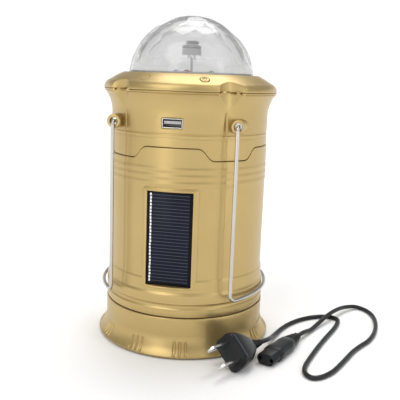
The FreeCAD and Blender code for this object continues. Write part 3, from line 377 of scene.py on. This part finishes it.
CONTACT = moulded("plated_contact", (0.78, 0.77, 0.75), (0.66, 0.65, 0.63), 0.24, 0.06, metal=1.0)
CELL_WRAP = moulded("blue_cell_wrap", (0.08, 0.24, 0.52), (0.06, 0.19, 0.44), 0.3)
BOARD = moulded("green_circuit_board", (0.04, 0.22, 0.09), (0.02, 0.15, 0.06), 0.4, grain=500.0, relief=0.2)
MIRROR = moulded("mirror_film", (0.88, 0.88, 0.89), (0.82, 0.82, 0.83), 0.12, 0.04, metal=1.0)
LED = moulded("led_epoxy", (0.94, 0.90, 0.72), (0.88, 0.82, 0.60), 0.2, Transmission_Weight=0.4)
RED = moulded("red_epoxy", (0.75, 0.08, 0.06), (0.6, 0.05, 0.04), 0.18, Transmission_Weight=0.5)
GREEN = moulded("green_epoxy", (0.08, 0.58, 0.15), (0.05, 0.45, 0.1), 0.18, Transmission_Weight=0.5)
BLUE = moulded("blue_epoxy", (0.08, 0.2, 0.75), (0.05, 0.14, 0.6), 0.18, Transmission_Weight=0.5)
SLAB = moulded("black_panel_resin", (0.006, 0.006, 0.009), (0.004, 0.004, 0.006), 0.16, 0.05,
               relief=0.04, Specular_IOR_Level=0.1)
CELL = moulded("blue_black_solar_cell", (0.011, 0.014, 0.026), (0.006, 0.008, 0.016), 0.24, 0.06,
               clouds=60.0, relief=0.05, Specular_IOR_Level=0.1)
FINGER = moulded("printed_silver_finger", (0.05, 0.06, 0.085), (0.03, 0.037, 0.055), 0.4)
BUS = moulded("tinned_bus_strip", (0.88, 0.88, 0.90), (0.62, 0.62, 0.66), 0.3, 0.1, metal=0.6, grain=900.0)


# ---------------------------------------------------------------- camera, floor and light
def set_camera():
    """A little to the right of the front, looking slightly down."""
    clear()
    bpy.ops.object.camera_add(location=(0.0932, -0.4416, 0.1855))
    camera = bpy.context.object
    forward = Vector((-0.1827, 0.9641, -0.1926))
    roll = Quaternion((0, 0, 1), math.radians(2.093))
    camera.rotation_mode = "QUATERNION"
    camera.rotation_quaternion = forward.to_track_quat("-Z", "Y") @ roll
    camera.data.lens = 56.5
    camera.data.sensor_width = 36
    camera.data.clip_start, camera.data.clip_end = 0.01, 50
    bpy.context.scene.camera = camera


def softbox(name, place, aim, width, height, power):
    """A large soft lamp that faces a point."""
    clear()
    bpy.ops.object.light_add(type="AREA", location=place)
    lamp = bpy.context.object
    lamp.name = name
    lamp.data.shape = "RECTANGLE"
    lamp.data.size, lamp.data.size_y = width, height
    lamp.data.energy = power
    lamp.rotation_mode = "QUATERNION"
    lamp.rotation_quaternion = (Vector(aim) - Vector(place)).to_track_quat("-Z", "Y")


def daylight(name, place, spread, power):
    """A wide even light that comes from a direction."""
    clear()
    bpy.ops.object.light_add(type="SUN", location=place)
    lamp = bpy.context.object
    lamp.name = name
    lamp.data.angle = math.radians(spread)
    lamp.data.energy = power
    lamp.rotation_mode = "QUATERNION"
    lamp.rotation_quaternion = (-Vector(place)).to_track_quat("-Z", "Y")


def set_stage():
    """A pale floor, a surround that is white low down and dimmer overhead, and soft lamps."""
    clear()
    bpy.ops.mesh.primitive_plane_add(size=12)
    floor = bpy.context.object
    floor.name = "pale_floor"
    paint, nodes, links, shader = new_finish("pale_floor_paint")
    shader.inputs["Base Color"].default_value = (0.93, 0.93, 0.93, 1)
    shader.inputs["Roughness"].default_value = 0.9
    floor.data.materials.append(paint)
    world = bpy.data.worlds.new("pale_studio")
    world.use_nodes = True
    nodes, links = world.node_tree.nodes, world.node_tree.links
    place = nodes.new("ShaderNodeTexCoord")
    parts = nodes.new("ShaderNodeSeparateXYZ")
    links.new(place.outputs["Generated"], parts.inputs["Vector"])
    sweep = nodes.new("ShaderNodeMapRange")
    sweep.interpolation_type = "SMOOTHSTEP"
    sweep.inputs["From Min"].default_value = 0.16
    sweep.inputs["From Max"].default_value = 0.36
    sweep.inputs["To Min"].default_value = 1.05
    sweep.inputs["To Max"].default_value = 0.34
    links.new(parts.outputs["Z"], sweep.inputs["Value"])
    links.new(sweep.outputs["Result"], nodes["Background"].inputs["Strength"])
    nodes["Background"].inputs["Color"].default_value = (1, 1, 1, 1)
    bpy.context.scene.world = world
    bpy.context.scene.view_settings.view_transform = "Standard"
    daylight("key_daylight", (-0.45, -0.8, 1.1), 40, 0.85)
    daylight("fill_daylight", (0.9, -0.4, 1.0), 50, 0.5)
    daylight("top_daylight", (0.0, 0.38, 0.92), 45, 1.7)
    softbox("key_softbox", (-0.3, -0.75, 0.3), (0, 0, 0.12), 0.25, 0.8, 0.9)
    softbox("side_softbox", (0.75, -0.3, 0.3), (0, 0, 0.12), 0.16, 0.8, 0.6)


set_camera()
set_stage()

# ---------------------------------------------------------------- mains lead
# Middle line of the lead, from the back of the mains plug to the back of the connector, in metres.
LEAD_ROUTE = [
    (0.06165, -0.03755, 0.0087), (0.0666, -0.0282, 0.0075), (0.0683, -0.0110, 0.0024),
    (0.0755, 0.0140, 0.0016), (0.0870, 0.0320, 0.0016), (0.1030, 0.0440, 0.0016),
    (0.1170, 0.0425, 0.0016), (0.1148, 0.0250, 0.0016), (0.1055, -0.0030, 0.0016),
    (0.0975, -0.0320, 0.0016), (0.0915, -0.0580, 0.0016), (0.0985, -0.0690, 0.0016),
    (0.1100, -0.0580, 0.0016), (0.1185, -0.0370, 0.0016), (0.1270, -0.0140, 0.0016),
    (0.1395, 0.0060, 0.0016), (0.1455, 0.0340, 0.0016), (0.1440, 0.0610, 0.0016),
    (0.1325, 0.0745, 0.0017), (0.1210, 0.0620, 0.0044), (0.1135, 0.0480, 0.0058),
    (0.1070, 0.0345, 0.0056), (0.0995, 0.0205, 0.0025), (0.0953, 0.0103, 0.0019),
    (0.0903, 0.0001, 0.0042), (0.0862, -0.0095, 0.0045),
]
LEAD_LENGTH, LEAD_WIDTH = 0.471, 0.0032
PLUG_FACE = Vector((46.0, -67.0, 12.2))
PLUG_HEADING, PLUG_TILT, PLUG_ROLL = -118.0, 6.0, -41.0
COUPLER_NOSE = Vector((67.3, -54.5, 4.5))
COUPLER_BACK = Vector((86.2, -9.5, 4.5))


def lead_cord():
    """The flexible cord, a smooth line through its route with a round jacket."""
    clear()
    bpy.ops.curve.primitive_nurbs_path_add()
    cord = bpy.context.object
    cord.name = "lead_cord_jacket"
    cord.data.splines.clear()
    spline = cord.data.splines.new("NURBS")
    spline.points.add(len(LEAD_ROUTE) - 1)
    for point, place in zip(spline.points, LEAD_ROUTE):
        point.co = (*place, 1)
    spline.order_u = 3
    spline.use_endpoint_u = True
    spline.resolution_u = 12
    cord.data.dimensions = "3D"
    cord.data.bevel_depth = LEAD_WIDTH / 2
    cord.data.bevel_resolution = 5
    cord.data.use_fill_caps = True
    return cord


def moved(piece, matrix):
    """Put a piece that was made at the origin in its place, given in mm."""
    scaled = matrix.copy()
    scaled.translation = matrix.translation * MM
    piece.data.transform(scaled)
    piece.data.update()
    return piece


def across_loops(sections):
    """Loops of a body along X from (place, width, height, corner) sections."""
    return [[(along, y, z) for y, z in rectangle(width / 2, height / 2, corner)]
            for along, width, height, corner in sections]


def plug_pieces():
    """The two-blade mains plug: a blocky body with a finger groove, a ribbed neck and its blades."""
    pose = (Matrix.Translation(PLUG_FACE) @ turn_z(PLUG_HEADING)
            @ Matrix.Rotation(math.radians(-PLUG_TILT), 4, "Y")
            @ Matrix.Rotation(math.radians(PLUG_ROLL), 4, "X"))
    body = lofted("plug_body", across_loops([
        (-0.9, 21.5, 14.0, 3.6), (-0.1, 23.4, 15.9, 4.2), (-1.2, 24.0, 16.5, 4.5),
        (-3.2, 23.8, 16.3, 4.5), (-4.0, 22.6, 15.4, 4.4), (-5.0, 22.6, 15.4, 4.4),
        (-6.0, 23.0, 15.4, 4.4), (-11.0, 20.6, 14.2, 4.2), (-17.0, 15.8, 11.2, 3.9),
        (-21.5, 11.4, 8.6, 3.5), (-22.4, 9.4, 7.6, 3.2)]))
    neck = [(-21.0, 8.4)]
    for ring in range(5):
        along = -22.6 - 2.1 * ring
        size = 7.9 - 0.75 * ring
        neck += [(along, size), (along - 0.2, size + 0.1), (along - 1.1, size), (along - 1.2, size - 1.5),
                 (along - 1.9, size - 1.6)]
    neck.append((-33.4, 4.6))
    bearings = [math.radians(angle) for angle in range(0, 360, 15)]
    tail = lofted("plug_neck", [[(along, size / 2 * math.cos(bearing), size / 2 * math.sin(bearing))
                                 for bearing in bearings] for along, size in neck])
    smooth(body, 50)
    smooth(tail, 50)
    plug = moved(merged("plug_body", [body, tail]), pose)
    blades = []
    for side in (-1, 1):
        y = side * 6.35
        blade = block("blade", (-2, y - 0.75, -3.17), (17, y + 0.75, 3.17), 0.35)
        edit(blade)
        for edge in (1, -1):
            bpy.ops.mesh.select_all(action="SELECT")
            bpy.ops.mesh.bisect(plane_co=(0.0155, 0, 0.0032 * edge), plane_no=(0.8, 0, 0.6 * edge),
                                clear_outer=True, use_fill=True)
        clear()
        bpy.ops.mesh.primitive_cylinder_add(vertices=24, radius=0.0016, depth=0.01,
                                            location=(0.0128, y * MM, 0), rotation=(math.pi / 2, 0, 0))
        punch = bpy.context.object
        carve(blade, punch)
        blades.append(blade)
    blades = moved(smooth(merged("plug_blade_pair", blades)), pose)
    return plug, blades


def coupler():
    """The two-hole connector: a rounded nose, a shouldered grip and a ribbed end."""
    away = COUPLER_BACK - COUPLER_NOSE
    length = away.length
    sections = [(0.6, 10.8, 6.4, 3.1), (0.0, 11.8, 7.3, 3.5), (0.5, 12.6, 8.0, 3.9), (9.6, 12.6, 8.0, 3.9),
                (10.0, 12.7, 8.1, 3.6), (10.5, 13.4, 9.0, 3.4), (16.0, 13.4, 9.0, 3.4),
                (22.0, 12.4, 8.5, 3.4), (28.0, 12.9, 8.7, 3.4), (33.0, 11.9, 8.3, 3.2)]
    for ring in range(5):
        along = 34.0 + 2.4 * ring
        share = ring / 4
        wide, deep = 10.6 - 3.4 * share, 7.6 - 1.8 * share
        sections += [(along, wide, deep, 2.6 - 0.5 * share), (along + 1.2, wide, deep, 2.6 - 0.5 * share),
                     (along + 1.35, wide - 1.6, deep - 1.4, 1.9 - 0.4 * share),
                     (along + 2.2, wide - 1.7, deep - 1.5, 1.9 - 0.4 * share)]
    sections.append((length - 0.3, 6.0, 5.0, 2.2))
    body = lofted("connector_body", across_loops(sections))
    for side in (-1, 1):
        clear()
        bpy.ops.mesh.primitive_cylinder_add(vertices=24, radius=0.0014, depth=0.019,
                                            location=(0, side * 0.0043, 0), rotation=(0, math.pi / 2, 0))
        carve(body, bpy.context.object)
    smooth(body, 50)
    pose = Matrix.Translation(COUPLER_NOSE) @ turn_z(math.degrees(math.atan2(away.y, away.x)))
    return moved(body, pose)


cord = lead_cord()
plug, plug_blades = plug_pieces()
connector = coupler()
cord.data.materials.append(CORD)
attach(cord, "base")
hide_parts("lead_cord")
lay(plug, "base", BLACK, ["mains_plug"])
lay(plug_blades, "base", CONTACT, ["plug_blades"])
lay(connector, "base", BLACK, ["lead_connector"])


# ---------------------------------------------------------------- rules for the shells
def turn_to(angle, mark):
    """How far an angle is from a mark, in degrees."""
    return abs((angle - mark + 180) % 360 - 180)


def soft_least(a, b, ease):
    """The smaller of two values, rounded where they are close."""
    near = max(ease - abs(a - b), 0) / ease
    return min(a, b) - near * near * ease / 4


def dip(angle):
    """The share of its full drop that the seam has at an angle."""
    off = min(turn_to(angle, mark) for mark in DIP_ANGLES)
    if off > 40:
        return 0
    across = BODY_RADIUS * math.sin(math.radians(off))
    share = (DIP_HALF_HIGH - across) / (DIP_HALF_HIGH - DIP_HALF_LOW)
    ease = 0.4
    return -soft_least(-soft_least(share, 1, ease), 0, ease)


def flute(angle):
    """How deep the upright lines are at an angle."""
    off = min(turn_to(angle, mark) for mark in FLUTE_ANGLES)
    return FLUTE_DEPTH * max(0, 1 - (off / FLUTE_WIDTH) ** 2) ** 1.5 if off < FLUTE_WIDTH else 0


def channel_wall(angle):
    """How far out the wall of the nearest scallop stands at an angle."""
    off = math.radians(min(turn_to(angle, mark) for mark in SCALLOP_ANGLES))
    centre = SCALLOP_DEPTH + SCALLOP_RADIUS
    inside = SCALLOP_RADIUS ** 2 - (centre * math.sin(off)) ** 2
    if off > 0.3 or inside <= 0:
        return 1000
    return centre * math.cos(off) - math.sqrt(inside)


def between(value, low, high):
    """0 below low, 1 above high and straight in between."""
    return min(max((value - low) / (high - low), 0), 1)


def open_up(piece, inside):
    """Take out the faces of a turned skin that a test of angle and height picks."""
    edit(piece)
    bpy.ops.mesh.select_mode(type="FACE")
    bpy.ops.mesh.select_all(action="DESELECT")
    bpy.ops.object.mode_set(mode="OBJECT")
    for face in piece.data.polygons:
        x, y, z = face.center / MM
        face.select = inside(math.degrees(math.atan2(x, -y)), z)
    bpy.ops.object.mode_set(mode="EDIT")
    bpy.ops.mesh.delete(type="FACE")
    bpy.ops.mesh.select_mode(type="VERT")
    clear()


# ---------------------------------------------------------------- base
def base_body():
    outline = [(60.6, 0.8), (61.4, 0.8)]
    outline += arc((61.4, 0.8), (FOOT_RADIUS, 2.3), 1.5, "left", 5)
    outline += arc((FOOT_RADIUS, 2.3), (57.57, DOOR_SILL), FLARE_ROUND, "right", 26)
    outline += arc((57.57, DOOR_SILL), (BASE_RADIUS, 16.0), FLARE_ROUND, "right", 6)
    outline += line((BASE_RADIUS, 16.0), (BASE_RADIUS, BASE_TOP - 0.7), 5)
    outline += arc((BASE_RADIUS, BASE_TOP - 0.7), (BASE_RADIUS - 0.7, BASE_TOP), 0.7, "left", 4)
    outline += [(56.0, BASE_TOP)]
    body = turned("base_body", outline, 1080, closed=False)

    def ribs(radius, angle, z):
        """Three upright grooves in each group leave four bars."""
        if not 1.5 < z < 12.5 or radius < 57.5:
            return radius, z
        off = min(turn_to(angle, RIB_FIRST + 360 / RIB_GROUPS * number) for number in range(RIB_GROUPS))
        near = min(abs(off - RIB_PITCH), off)
        groove = between(1.05 - near, 0, 0.5)
        fade = between(z, 2.3, 3.2) * between(-z, -11.0, -10.2)
        return radius - 0.9 * groove * fade, z

    shaped(body, ribs)
    open_up(body, lambda angle, z: DOOR_START < angle < DOOR_END and z > DOOR_SILL)
    apply(body, "SOLIDIFY", "wall", thickness=2.0 * MM, offset=-1)
    return smooth(body, 40)


# ---------------------------------------------------------------- sleeve
def sleeve_body():
    outline = [(55.6, 27.6), (56.5, 27.6)]
    outline += arc((56.5, 27.6), (56.95, 28.2), 0.7, "left", 3)
    outline += line((56.95, 28.2), (SKIRT_RADIUS, 29.8), 2)
    outline += line((SKIRT_RADIUS, 29.8), (SKIRT_RADIUS, 33.0), 3)
    outline += arc((SKIRT_RADIUS, 33.0), (SKIRT_RADIUS, 37.0), 2.67, "right", 12)
    outline += line((SKIRT_RADIUS, 37.0), (SKIRT_RADIUS, 42.6), 4)
    outline += arc((SKIRT_RADIUS, 42.6), (56.9, 43.3), 1.0, "left", 3)
    outline += line((56.9, 43.3), (56.3, 44.3), 2)
    outline += arc((56.3, 44.3), (56.15, 44.8), 0.9, "right", 3)
    outline += line((56.15, 44.8), (55.9, 51.8), 4)
    outline += arc((55.9, 51.8), (55.75, 52.3), 0.8, "left", 2)
    outline += line((55.75, 52.3), (55.35, 53.1), 2)
    outline += line((55.35, 53.1), (BODY_RADIUS, 53.6), 1)
    level = 53.6
    for number in range(3):
        low = BEAD_FIRST + BEAD_PITCH * number - BEAD_HALF
        high = low + 2 * BEAD_HALF
        outline += line((BODY_RADIUS, level), (BODY_RADIUS, low), 20 if number == 0 else 2)
        outline += arc((BODY_RADIUS, low), (BODY_RADIUS, high), BEAD_ROUND, "left", 8)
        level = high
    outline += line((BODY_RADIUS, level), (BODY_RADIUS, SEAM_HIGH - EDGE_ROUND), 14)
    outline += arc(outline[-1], (BODY_RADIUS - EDGE_ROUND, SEAM_HIGH), EDGE_ROUND, "left", 4)
    outline += [(54.2, SEAM_HIGH)]
    body = turned("sleeve_body", outline, 720, closed=False)

    def rule(radius, angle, z):
        drop = SEAM_DROP * dip(angle) * between(z, 128.4, SEAM_HIGH - 0.6)
        radius -= flute(angle) * between(z, 44.0, 46.0)
        return radius, z - drop

    shaped(body, rule)
    window = math.degrees(math.asin(16.4 / BODY_RADIUS))
    open_up(body, lambda angle, z: abs(angle) < window and 47.0 < z < 113.0)
    apply(body, "SOLIDIFY", "wall", thickness=1.8 * MM, offset=-1)
    return smooth(body, 40)


def panel_frame():
    """The raised frame round the solar panel, bent to the sleeve's curve."""
    middle = (WINDOW_LOW + WINDOW_HIGH) / 2
    half = (WINDOW_HIGH - WINDOW_LOW) / 2

    def loop(grow, radius, corner):
        points = []
        for x, z in dense(rectangle(WINDOW_HALF + grow, half + grow * 0.7, corner)):
            y = -radius if radius < PANEL_FACE + 0.1 else -math.sqrt(radius ** 2 - x ** 2)
            points.append((x, y, middle + z))
        return points

    def dense(points):
        """More points on the long straight sides."""
        filled = []
        for number, point in enumerate(points):
            ahead = points[(number + 1) % len(points)]
            gap = math.dist(point, ahead)
            parts = 12 if gap > 5 else 1
            filled += [tuple(Vector(point).lerp(Vector(ahead), step / parts)) for step in range(parts)]
        return filled

    sections = [(0.0, PANEL_FACE - 1.0, 0.5), (0.0, PANEL_FACE, 0.5), (0.02, 55.75, 0.5), (0.12, 56.05, 0.55),
                (0.35, 56.2, 0.65), (2.0, 56.2, 1.3), (2.25, 56.1, 1.4), (2.4, 55.85, 1.5), (2.8, 55.8, 1.6),
                (3.3, 55.75, 1.8), (3.55, 55.6, 1.9), (3.65, 55.3, 1.9), (3.65, 54.5, 1.9)]
    loops = [loop(*section) for section in sections]
    frame_piece = lofted("panel_frame", loops + [loops[0]], ends=False)
    return smooth(frame_piece, 45)


def panel_pieces():
    """The black slab, the cell with its fine printed lines, and the bright dashed strip."""
    random.seed(7)
    slab = smooth(block("panel_slab", (-16.9, -PANEL_FACE, 47.1), (16.9, -50.9, 112.8), 0.25))
    cell = smooth(block("panel_cell", (-12.3, -53.06, 49.9), (13.2, -PANEL_FACE + 0.2, 110.2), 0.06))
    fingers = []
    for number in range(27):
        level = 51.0 + 2.24 * number
        finger = block("finger", (-12.1, -53.11, level), (13.0, -53.0, level + 0.28), 0)
        for vertex in finger.data.vertices:
            vertex.co.z += random.uniform(-0.05, 0.05) * MM
        fingers.append(finger)
    fingers = smooth(merged("panel_fingers", fingers))
    dashes = []
    for number in range(27):
        level = 50.4 + 2.24 * number
        shift = random.uniform(-0.12, 0.12)
        low = (-13.5 + shift, -53.25, level)
        high = (-12.35 + shift, -53.0, level + 1.75)
        dashes.append(block("dash", low, high, 0.12))
    dashes = smooth(merged("panel_bus_dashes", dashes))
    return slab, cell, fingers, dashes


# ---------------------------------------------------------------- head
def head_body():
    low = SEAM_HIGH + JOIN_GAP
    outline = [(53.8, low), (HEAD_RADIUS - EDGE_ROUND, low)]
    outline += arc(outline[-1], (HEAD_RADIUS, low + EDGE_ROUND), EDGE_ROUND, "left", 4)
    outline += line(outline[-1], (HEAD_RADIUS, 146.2), 8)
    outline += arc((HEAD_RADIUS, 146.2), (HEAD_RADIUS, 146.8), 0.6, "right", 4)
    outline += line((HEAD_RADIUS, 146.8), (HEAD_RADIUS, 148.4), 2)
    outline += arc((HEAD_RADIUS, 148.4), (HEAD_RADIUS, 149.6), 0.65, "right", 6)
    outline += line((HEAD_RADIUS, 149.6), (HEAD_RADIUS, NECK_LEVEL), 10)
    rise, spread = RIM_LEVEL - NECK_LEVEL, 5.7
    flare = (rise ** 2 + spread ** 2) / (2 * spread)
    outline += arc((HEAD_RADIUS, NECK_LEVEL), (60.5, 175.7), flare, "right", 30)
    outline += arc((60.5, 175.7), (60.1, RIM_LEVEL), 0.35, "left", 3)
    outline += [(59.4, RIM_LEVEL)]
    body = turned("head_body", outline, 720, closed=False)

    def rule(radius, angle, z):
        drop = SEAM_DROP * dip(angle) * between(-z, -146.1, -low - 0.6) if z < 146.1 else 0
        radius = soft_least(radius, channel_wall(angle) - max(HEAD_RADIUS - radius, 0), 0.7)
        radius -= flute(angle) * between(-z, -164.0, -161.0)
        return radius, z - drop

    shaped(body, rule)
    apply(body, "SOLIDIFY", "wall", thickness=1.5 * MM, offset=-1)
    half_w, half_h = USB_WIDTH / 2, USB_HEIGHT / 2
    loops = []
    for grow, y in ((0.75, -57.0), (0.75, -54.75), (0.0, -54.1), (0.0, -50.0)):
        loops.append([(x, y, USB_LEVEL + z) for x, z in rectangle(half_w + grow, half_h + grow, 0.5 + grow)])
    carve(body, lofted("usb_cutter", loops))
    return smooth(body, 40)


def pivot_bosses():
    """Four short tubes that hold the ends of the bails."""
    outline = [(4.6, 24.0), (4.6, 45.9)]
    outline += arc((4.6, 45.9), (3.7, 46.8), 0.9, "left", 5)
    outline += [(3.1, 46.8)]
    outline += arc((3.1, 46.8), (2.5, 46.2), 0.6, "left", 4)
    outline += [(2.5, 39.0), (2.5, 24.0)]
    tube = turned("boss", outline, 48)
    bosses = []
    for sx in (-1, 1):
        for sy in (-1, 1):
            stand = Matrix.Translation((sx * 41.2 * MM, 0, 155.0 * MM)) @ Matrix.Rotation(
                math.radians(90 * sy * -1), 4, "X")
            bosses.append(copy_of(tube, stand))
    bpy.data.objects.remove(tube)
    return smooth(merged("pivot_bosses", bosses), 50)


# ---------------------------------------------------------------- top cap and button
def shoulder_place(angle):
    """The place and outward lean of a spot on the cap's sloping shoulder."""
    run, drop = SHOULDER_RADIUS - WELL_RADIUS, CAP_LEVEL - SHOULDER_LEVEL
    level = SHOULDER_LEVEL + (SHOULDER_RADIUS - BUTTON_CIRCLE) * drop / run
    lean = math.atan2(drop, run)
    return (turn_z(angle) @ Matrix.Translation((0, -BUTTON_CIRCLE * MM, level * MM))
            @ Matrix.Rotation(lean, 4, "X"))


def cap_body():
    low = 176.25
    outline = [(59.4, low), (60.15, low)]
    outline += arc((60.15, low), (60.6, low + 0.5), 0.5, "left", 3)
    outline += arc((60.6, low + 0.5), (SHOULDER_RADIUS, SHOULDER_LEVEL), 6.6, "left", 18)
    outline += arc((SHOULDER_RADIUS, SHOULDER_LEVEL), (47.2, 187.3), 60, "left", 16)
    outline += arc((47.2, 187.3), (46.3, 186.6), 0.9, "left", 5)
    outline += [(46.3, 184.5), (46.3, 181.6)]
    body = turned("cap_body", outline, 720, closed=False)

    def rule(radius, angle, z):
        inside = max(60.6 - radius, 0) if z < low + 0.5 else 0
        return soft_least(radius, channel_wall(angle) - inside, 0.7), z

    shaped(body, rule)
    apply(body, "SOLIDIFY", "wall", thickness=1.5 * MM, offset=-1)
    rings = []
    for angle in MARK_ANGLES:
        clear()
        bpy.ops.mesh.primitive_torus_add(major_segments=48, minor_segments=8, major_radius=3.1 * MM,
                                         minor_radius=0.34 * MM)
        ring = bpy.context.object
        ring.data.transform(shoulder_place(angle) @ Matrix.Translation((0, 0, 0.25 * MM)))
        rings.append(ring)
    carve(body, merged("mark_cutter", rings))
    clear()
    bpy.ops.mesh.primitive_cylinder_add(vertices=64, radius=3.35 * MM, depth=9 * MM)
    hole = bpy.context.object
    hole.data.transform(shoulder_place(BUTTON_ANGLE))
    carve(body, hole)
    return smooth(body, 40)


def button_piece():
    """The power button: a flat disc with a rounded edge."""
    outline = [(0, -3.4), (3.7, -3.4), (3.7, -2.5), (BUTTON_RADIUS, -2.5), (BUTTON_RADIUS, 0.1)]
    outline += arc((BUTTON_RADIUS, 0.1), (BUTTON_RADIUS - 0.4, 0.5), 0.4, "left", 4)
    outline += [(0, 0.5)]
    button = turned("power_button_cap", outline, 60)
    button.data.transform(shoulder_place(BUTTON_ANGLE))
    return smooth(button, 40)


def power_mark():
    """The ring and the upright tick printed on the power button."""
    ring = turned("power_mark", [(1.2, 0.4), (1.65, 0.4), (1.65, 0.58), (1.2, 0.58)], 60)
    mark = merged("power_mark", [ring, block("tick", (-0.3, 0.5, 0.4), (0.3, 2.4, 0.6), 0.05)])
    mark.data.transform(shoulder_place(BUTTON_ANGLE))
    return smooth(mark, 40)


def mark_groove_painted_shade():
    """Dark gold linings under the ring-mark grooves round the cap: painted shade in the grooves."""
    rings = []
    for angle in MARK_ANGLES:
        ring = turned("mark_ring", [(BUTTON_RADIUS, -0.35), (BUTTON_RADIUS + 0.5, -0.35),
                                    (BUTTON_RADIUS + 0.5, -0.02), (BUTTON_RADIUS, -0.02)], 60)
        ring.data.transform(shoulder_place(angle))
        rings.append(ring)
    return smooth(merged("mark_groove_painted_shade", rings), 40)


# ---------------------------------------------------------------- crystal dome
def dome_skin():
    """The clear dome: flat facets cut in rows into a round shell, with rings at its crown."""
    outline = []
    foot_radius = math.sqrt(DOME_RADIUS ** 2 - (DOME_FOOT + 1.0 - DOME_CENTRE) ** 2)
    start = math.asin((DOME_FOOT + 1.0 - DOME_CENTRE) / DOME_RADIUS)
    steps = 60
    for step in range(steps + 1):
        rise = start + (math.pi / 2 - start) * step / steps
        radius = DOME_RADIUS * math.cos(rise)
        ripple = CROWN_RIPPLE * (math.cos(radius * 2.4) - 1) if radius < CROWN_RADIUS else 0
        level = DOME_CENTRE + DOME_RADIUS * math.sin(rise) + ripple
        outline.append((radius if step < steps else 0, level))
    outline += [(0, DOME_FOOT), (foot_radius, DOME_FOOT)]
    outer = turned("dome_skin", outline, 144)
    edit(outer)
    rows = ((25.0, 17, 0.0), (38.5, 15, 0.5), (51.5, 12, 0.0), (64.0, 9, 0.5))
    cut = DOME_RADIUS - 0.72
    for rise, count, shift in rows:
        for number in range(count):
            bearing = math.tau * (number + shift) / count
            out = Vector((math.cos(math.radians(rise)) * math.sin(bearing),
                          -math.cos(math.radians(rise)) * math.cos(bearing), math.sin(math.radians(rise))))
            centre = Vector((0, 0, DOME_CENTRE)) + out * cut
            bpy.ops.mesh.select_all(action="SELECT")
            bpy.ops.mesh.bisect(plane_co=centre * MM, plane_no=out, clear_outer=True, use_fill=True)
    clear()
    hollow = []
    inner = DOME_RADIUS - 2.0
    low = math.asin((DOME_FOOT - 2 - DOME_CENTRE) / inner)
    for step in range(41):
        rise = low + (math.pi / 2 - low) * step / 40
        hollow.append((inner * math.cos(rise) if step < 40 else 0, DOME_CENTRE + inner * math.sin(rise)))
    hollow.append((0, DOME_FOOT - 2))
    core = turned("dome_hollow", hollow, 144)
    carve(outer, core)
    flange = turned("dome_flange", [(41.4, 186.3), (45.6, 186.3), (45.6, 187.0), (45.2, 187.3), (43.9, 187.5),
                                    (43.2, 188.4), (41.4, 188.4)], 144)
    smooth(flange, 40)
    return smooth(outer, 5), flange


def hub_pieces():
    """The hub that carries the dome on its shaft: a pale skirt under a dark crown."""
    outline = [(1.0, 199.0), (6.3, 199.0), (6.3, 205.0), (6.0, 205.3), (1.0, 205.3)]
    skirt = turned("dome_hub_skirt", outline, 60)
    outline = [(1.0, 205.4), (6.1, 205.4), (6.3, 205.7), (6.3, 206.6)]
    outline += arc((6.3, 206.6), (3.9, 209.0), 2.4, "left", 6)
    outline += [(0, 209.0), (0, 206.0), (1.0, 206.0)]
    crown = turned("dome_hub_crown", outline, 60)
    return smooth(skirt, 40), smooth(crown, 40)


# ---------------------------------------------------------------- the pieces in place
lay(base_body(), "base", GOLD, ["base_shell"])
lay(sleeve_body(), "cover", GOLD, ["sleeve"])
lay(panel_frame(), "cover", GOLD)
slab, cell, fingers, dashes = panel_pieces()
lay(slab, "cover", SLAB, ["solar_panel"])
lay(cell, "cover", CELL)
lay(fingers, "cover", FINGER)
lay(dashes, "cover", BUS)
lay(head_body(), "cover", GOLD, ["head_shell"])
lay(pivot_bosses(), "cover", GOLD)
lay(cap_body(), "cover", GOLD, ["top_cap"])
# Dark gold rings laid under the ring-mark grooves: painted shade in the grooves.
lay(mark_groove_painted_shade(), "cover", GOLD_PRINT_AND_GROOVE_SHADE)
lay(button_piece(), "power_button", GOLD, ["power_button"])
lay(power_mark(), "power_button", GOLD_PRINT_AND_GROOVE_SHADE)
skin, flange = dome_skin()
lay(skin, "dome", CLEAR, ["dome_lens"])
lay(flange, "dome", CLEAR)
skirt, crown = hub_pieces()
lay(skirt, "dome", GREY, ["dome_hub"])
lay(crown, "dome", DARK_GREY)

CARRIED = {
    GOLD: ["socket_cover"],
    BLACK: ["bottom_cover", "charging_socket", "battery_cradle", "charger_parts", "panel_backplate",
            "tact_switch", "head_floor"],
    RUBBER: ["rubber_feet"],
    NICKEL: ["right_bail", "left_bail"],
    STEEL: ["bottom_screws", "socket_cover_pin", "head_screws", "dome_motor", "motor_strap", "dome_shaft"],
    CONTACT: ["socket_pins", "pivot_bushes", "usb_shell"],
    CELL_WRAP: ["battery_cells"],
    BOARD: ["charger_board", "usb_board", "switch_board", "stage_board"],
    WHITE: ["lamp_deck", "lamp_cap", "led_column", "stage_deck"],
    GREY: ["usb_tongue"],
    TUBE_CLEAR: ["lamp_tube"],
    LED: ["column_leds"],
    MIRROR: ["reflector"],
    RED: ["red_lamp"],
    GREEN: ["green_lamp"],
    BLUE: ["blue_lamp"],
}
for finish, names in CARRIED.items():
    for name in names:
        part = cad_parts[name]
        part.data.materials.clear()
        part.data.materials.append(finish)
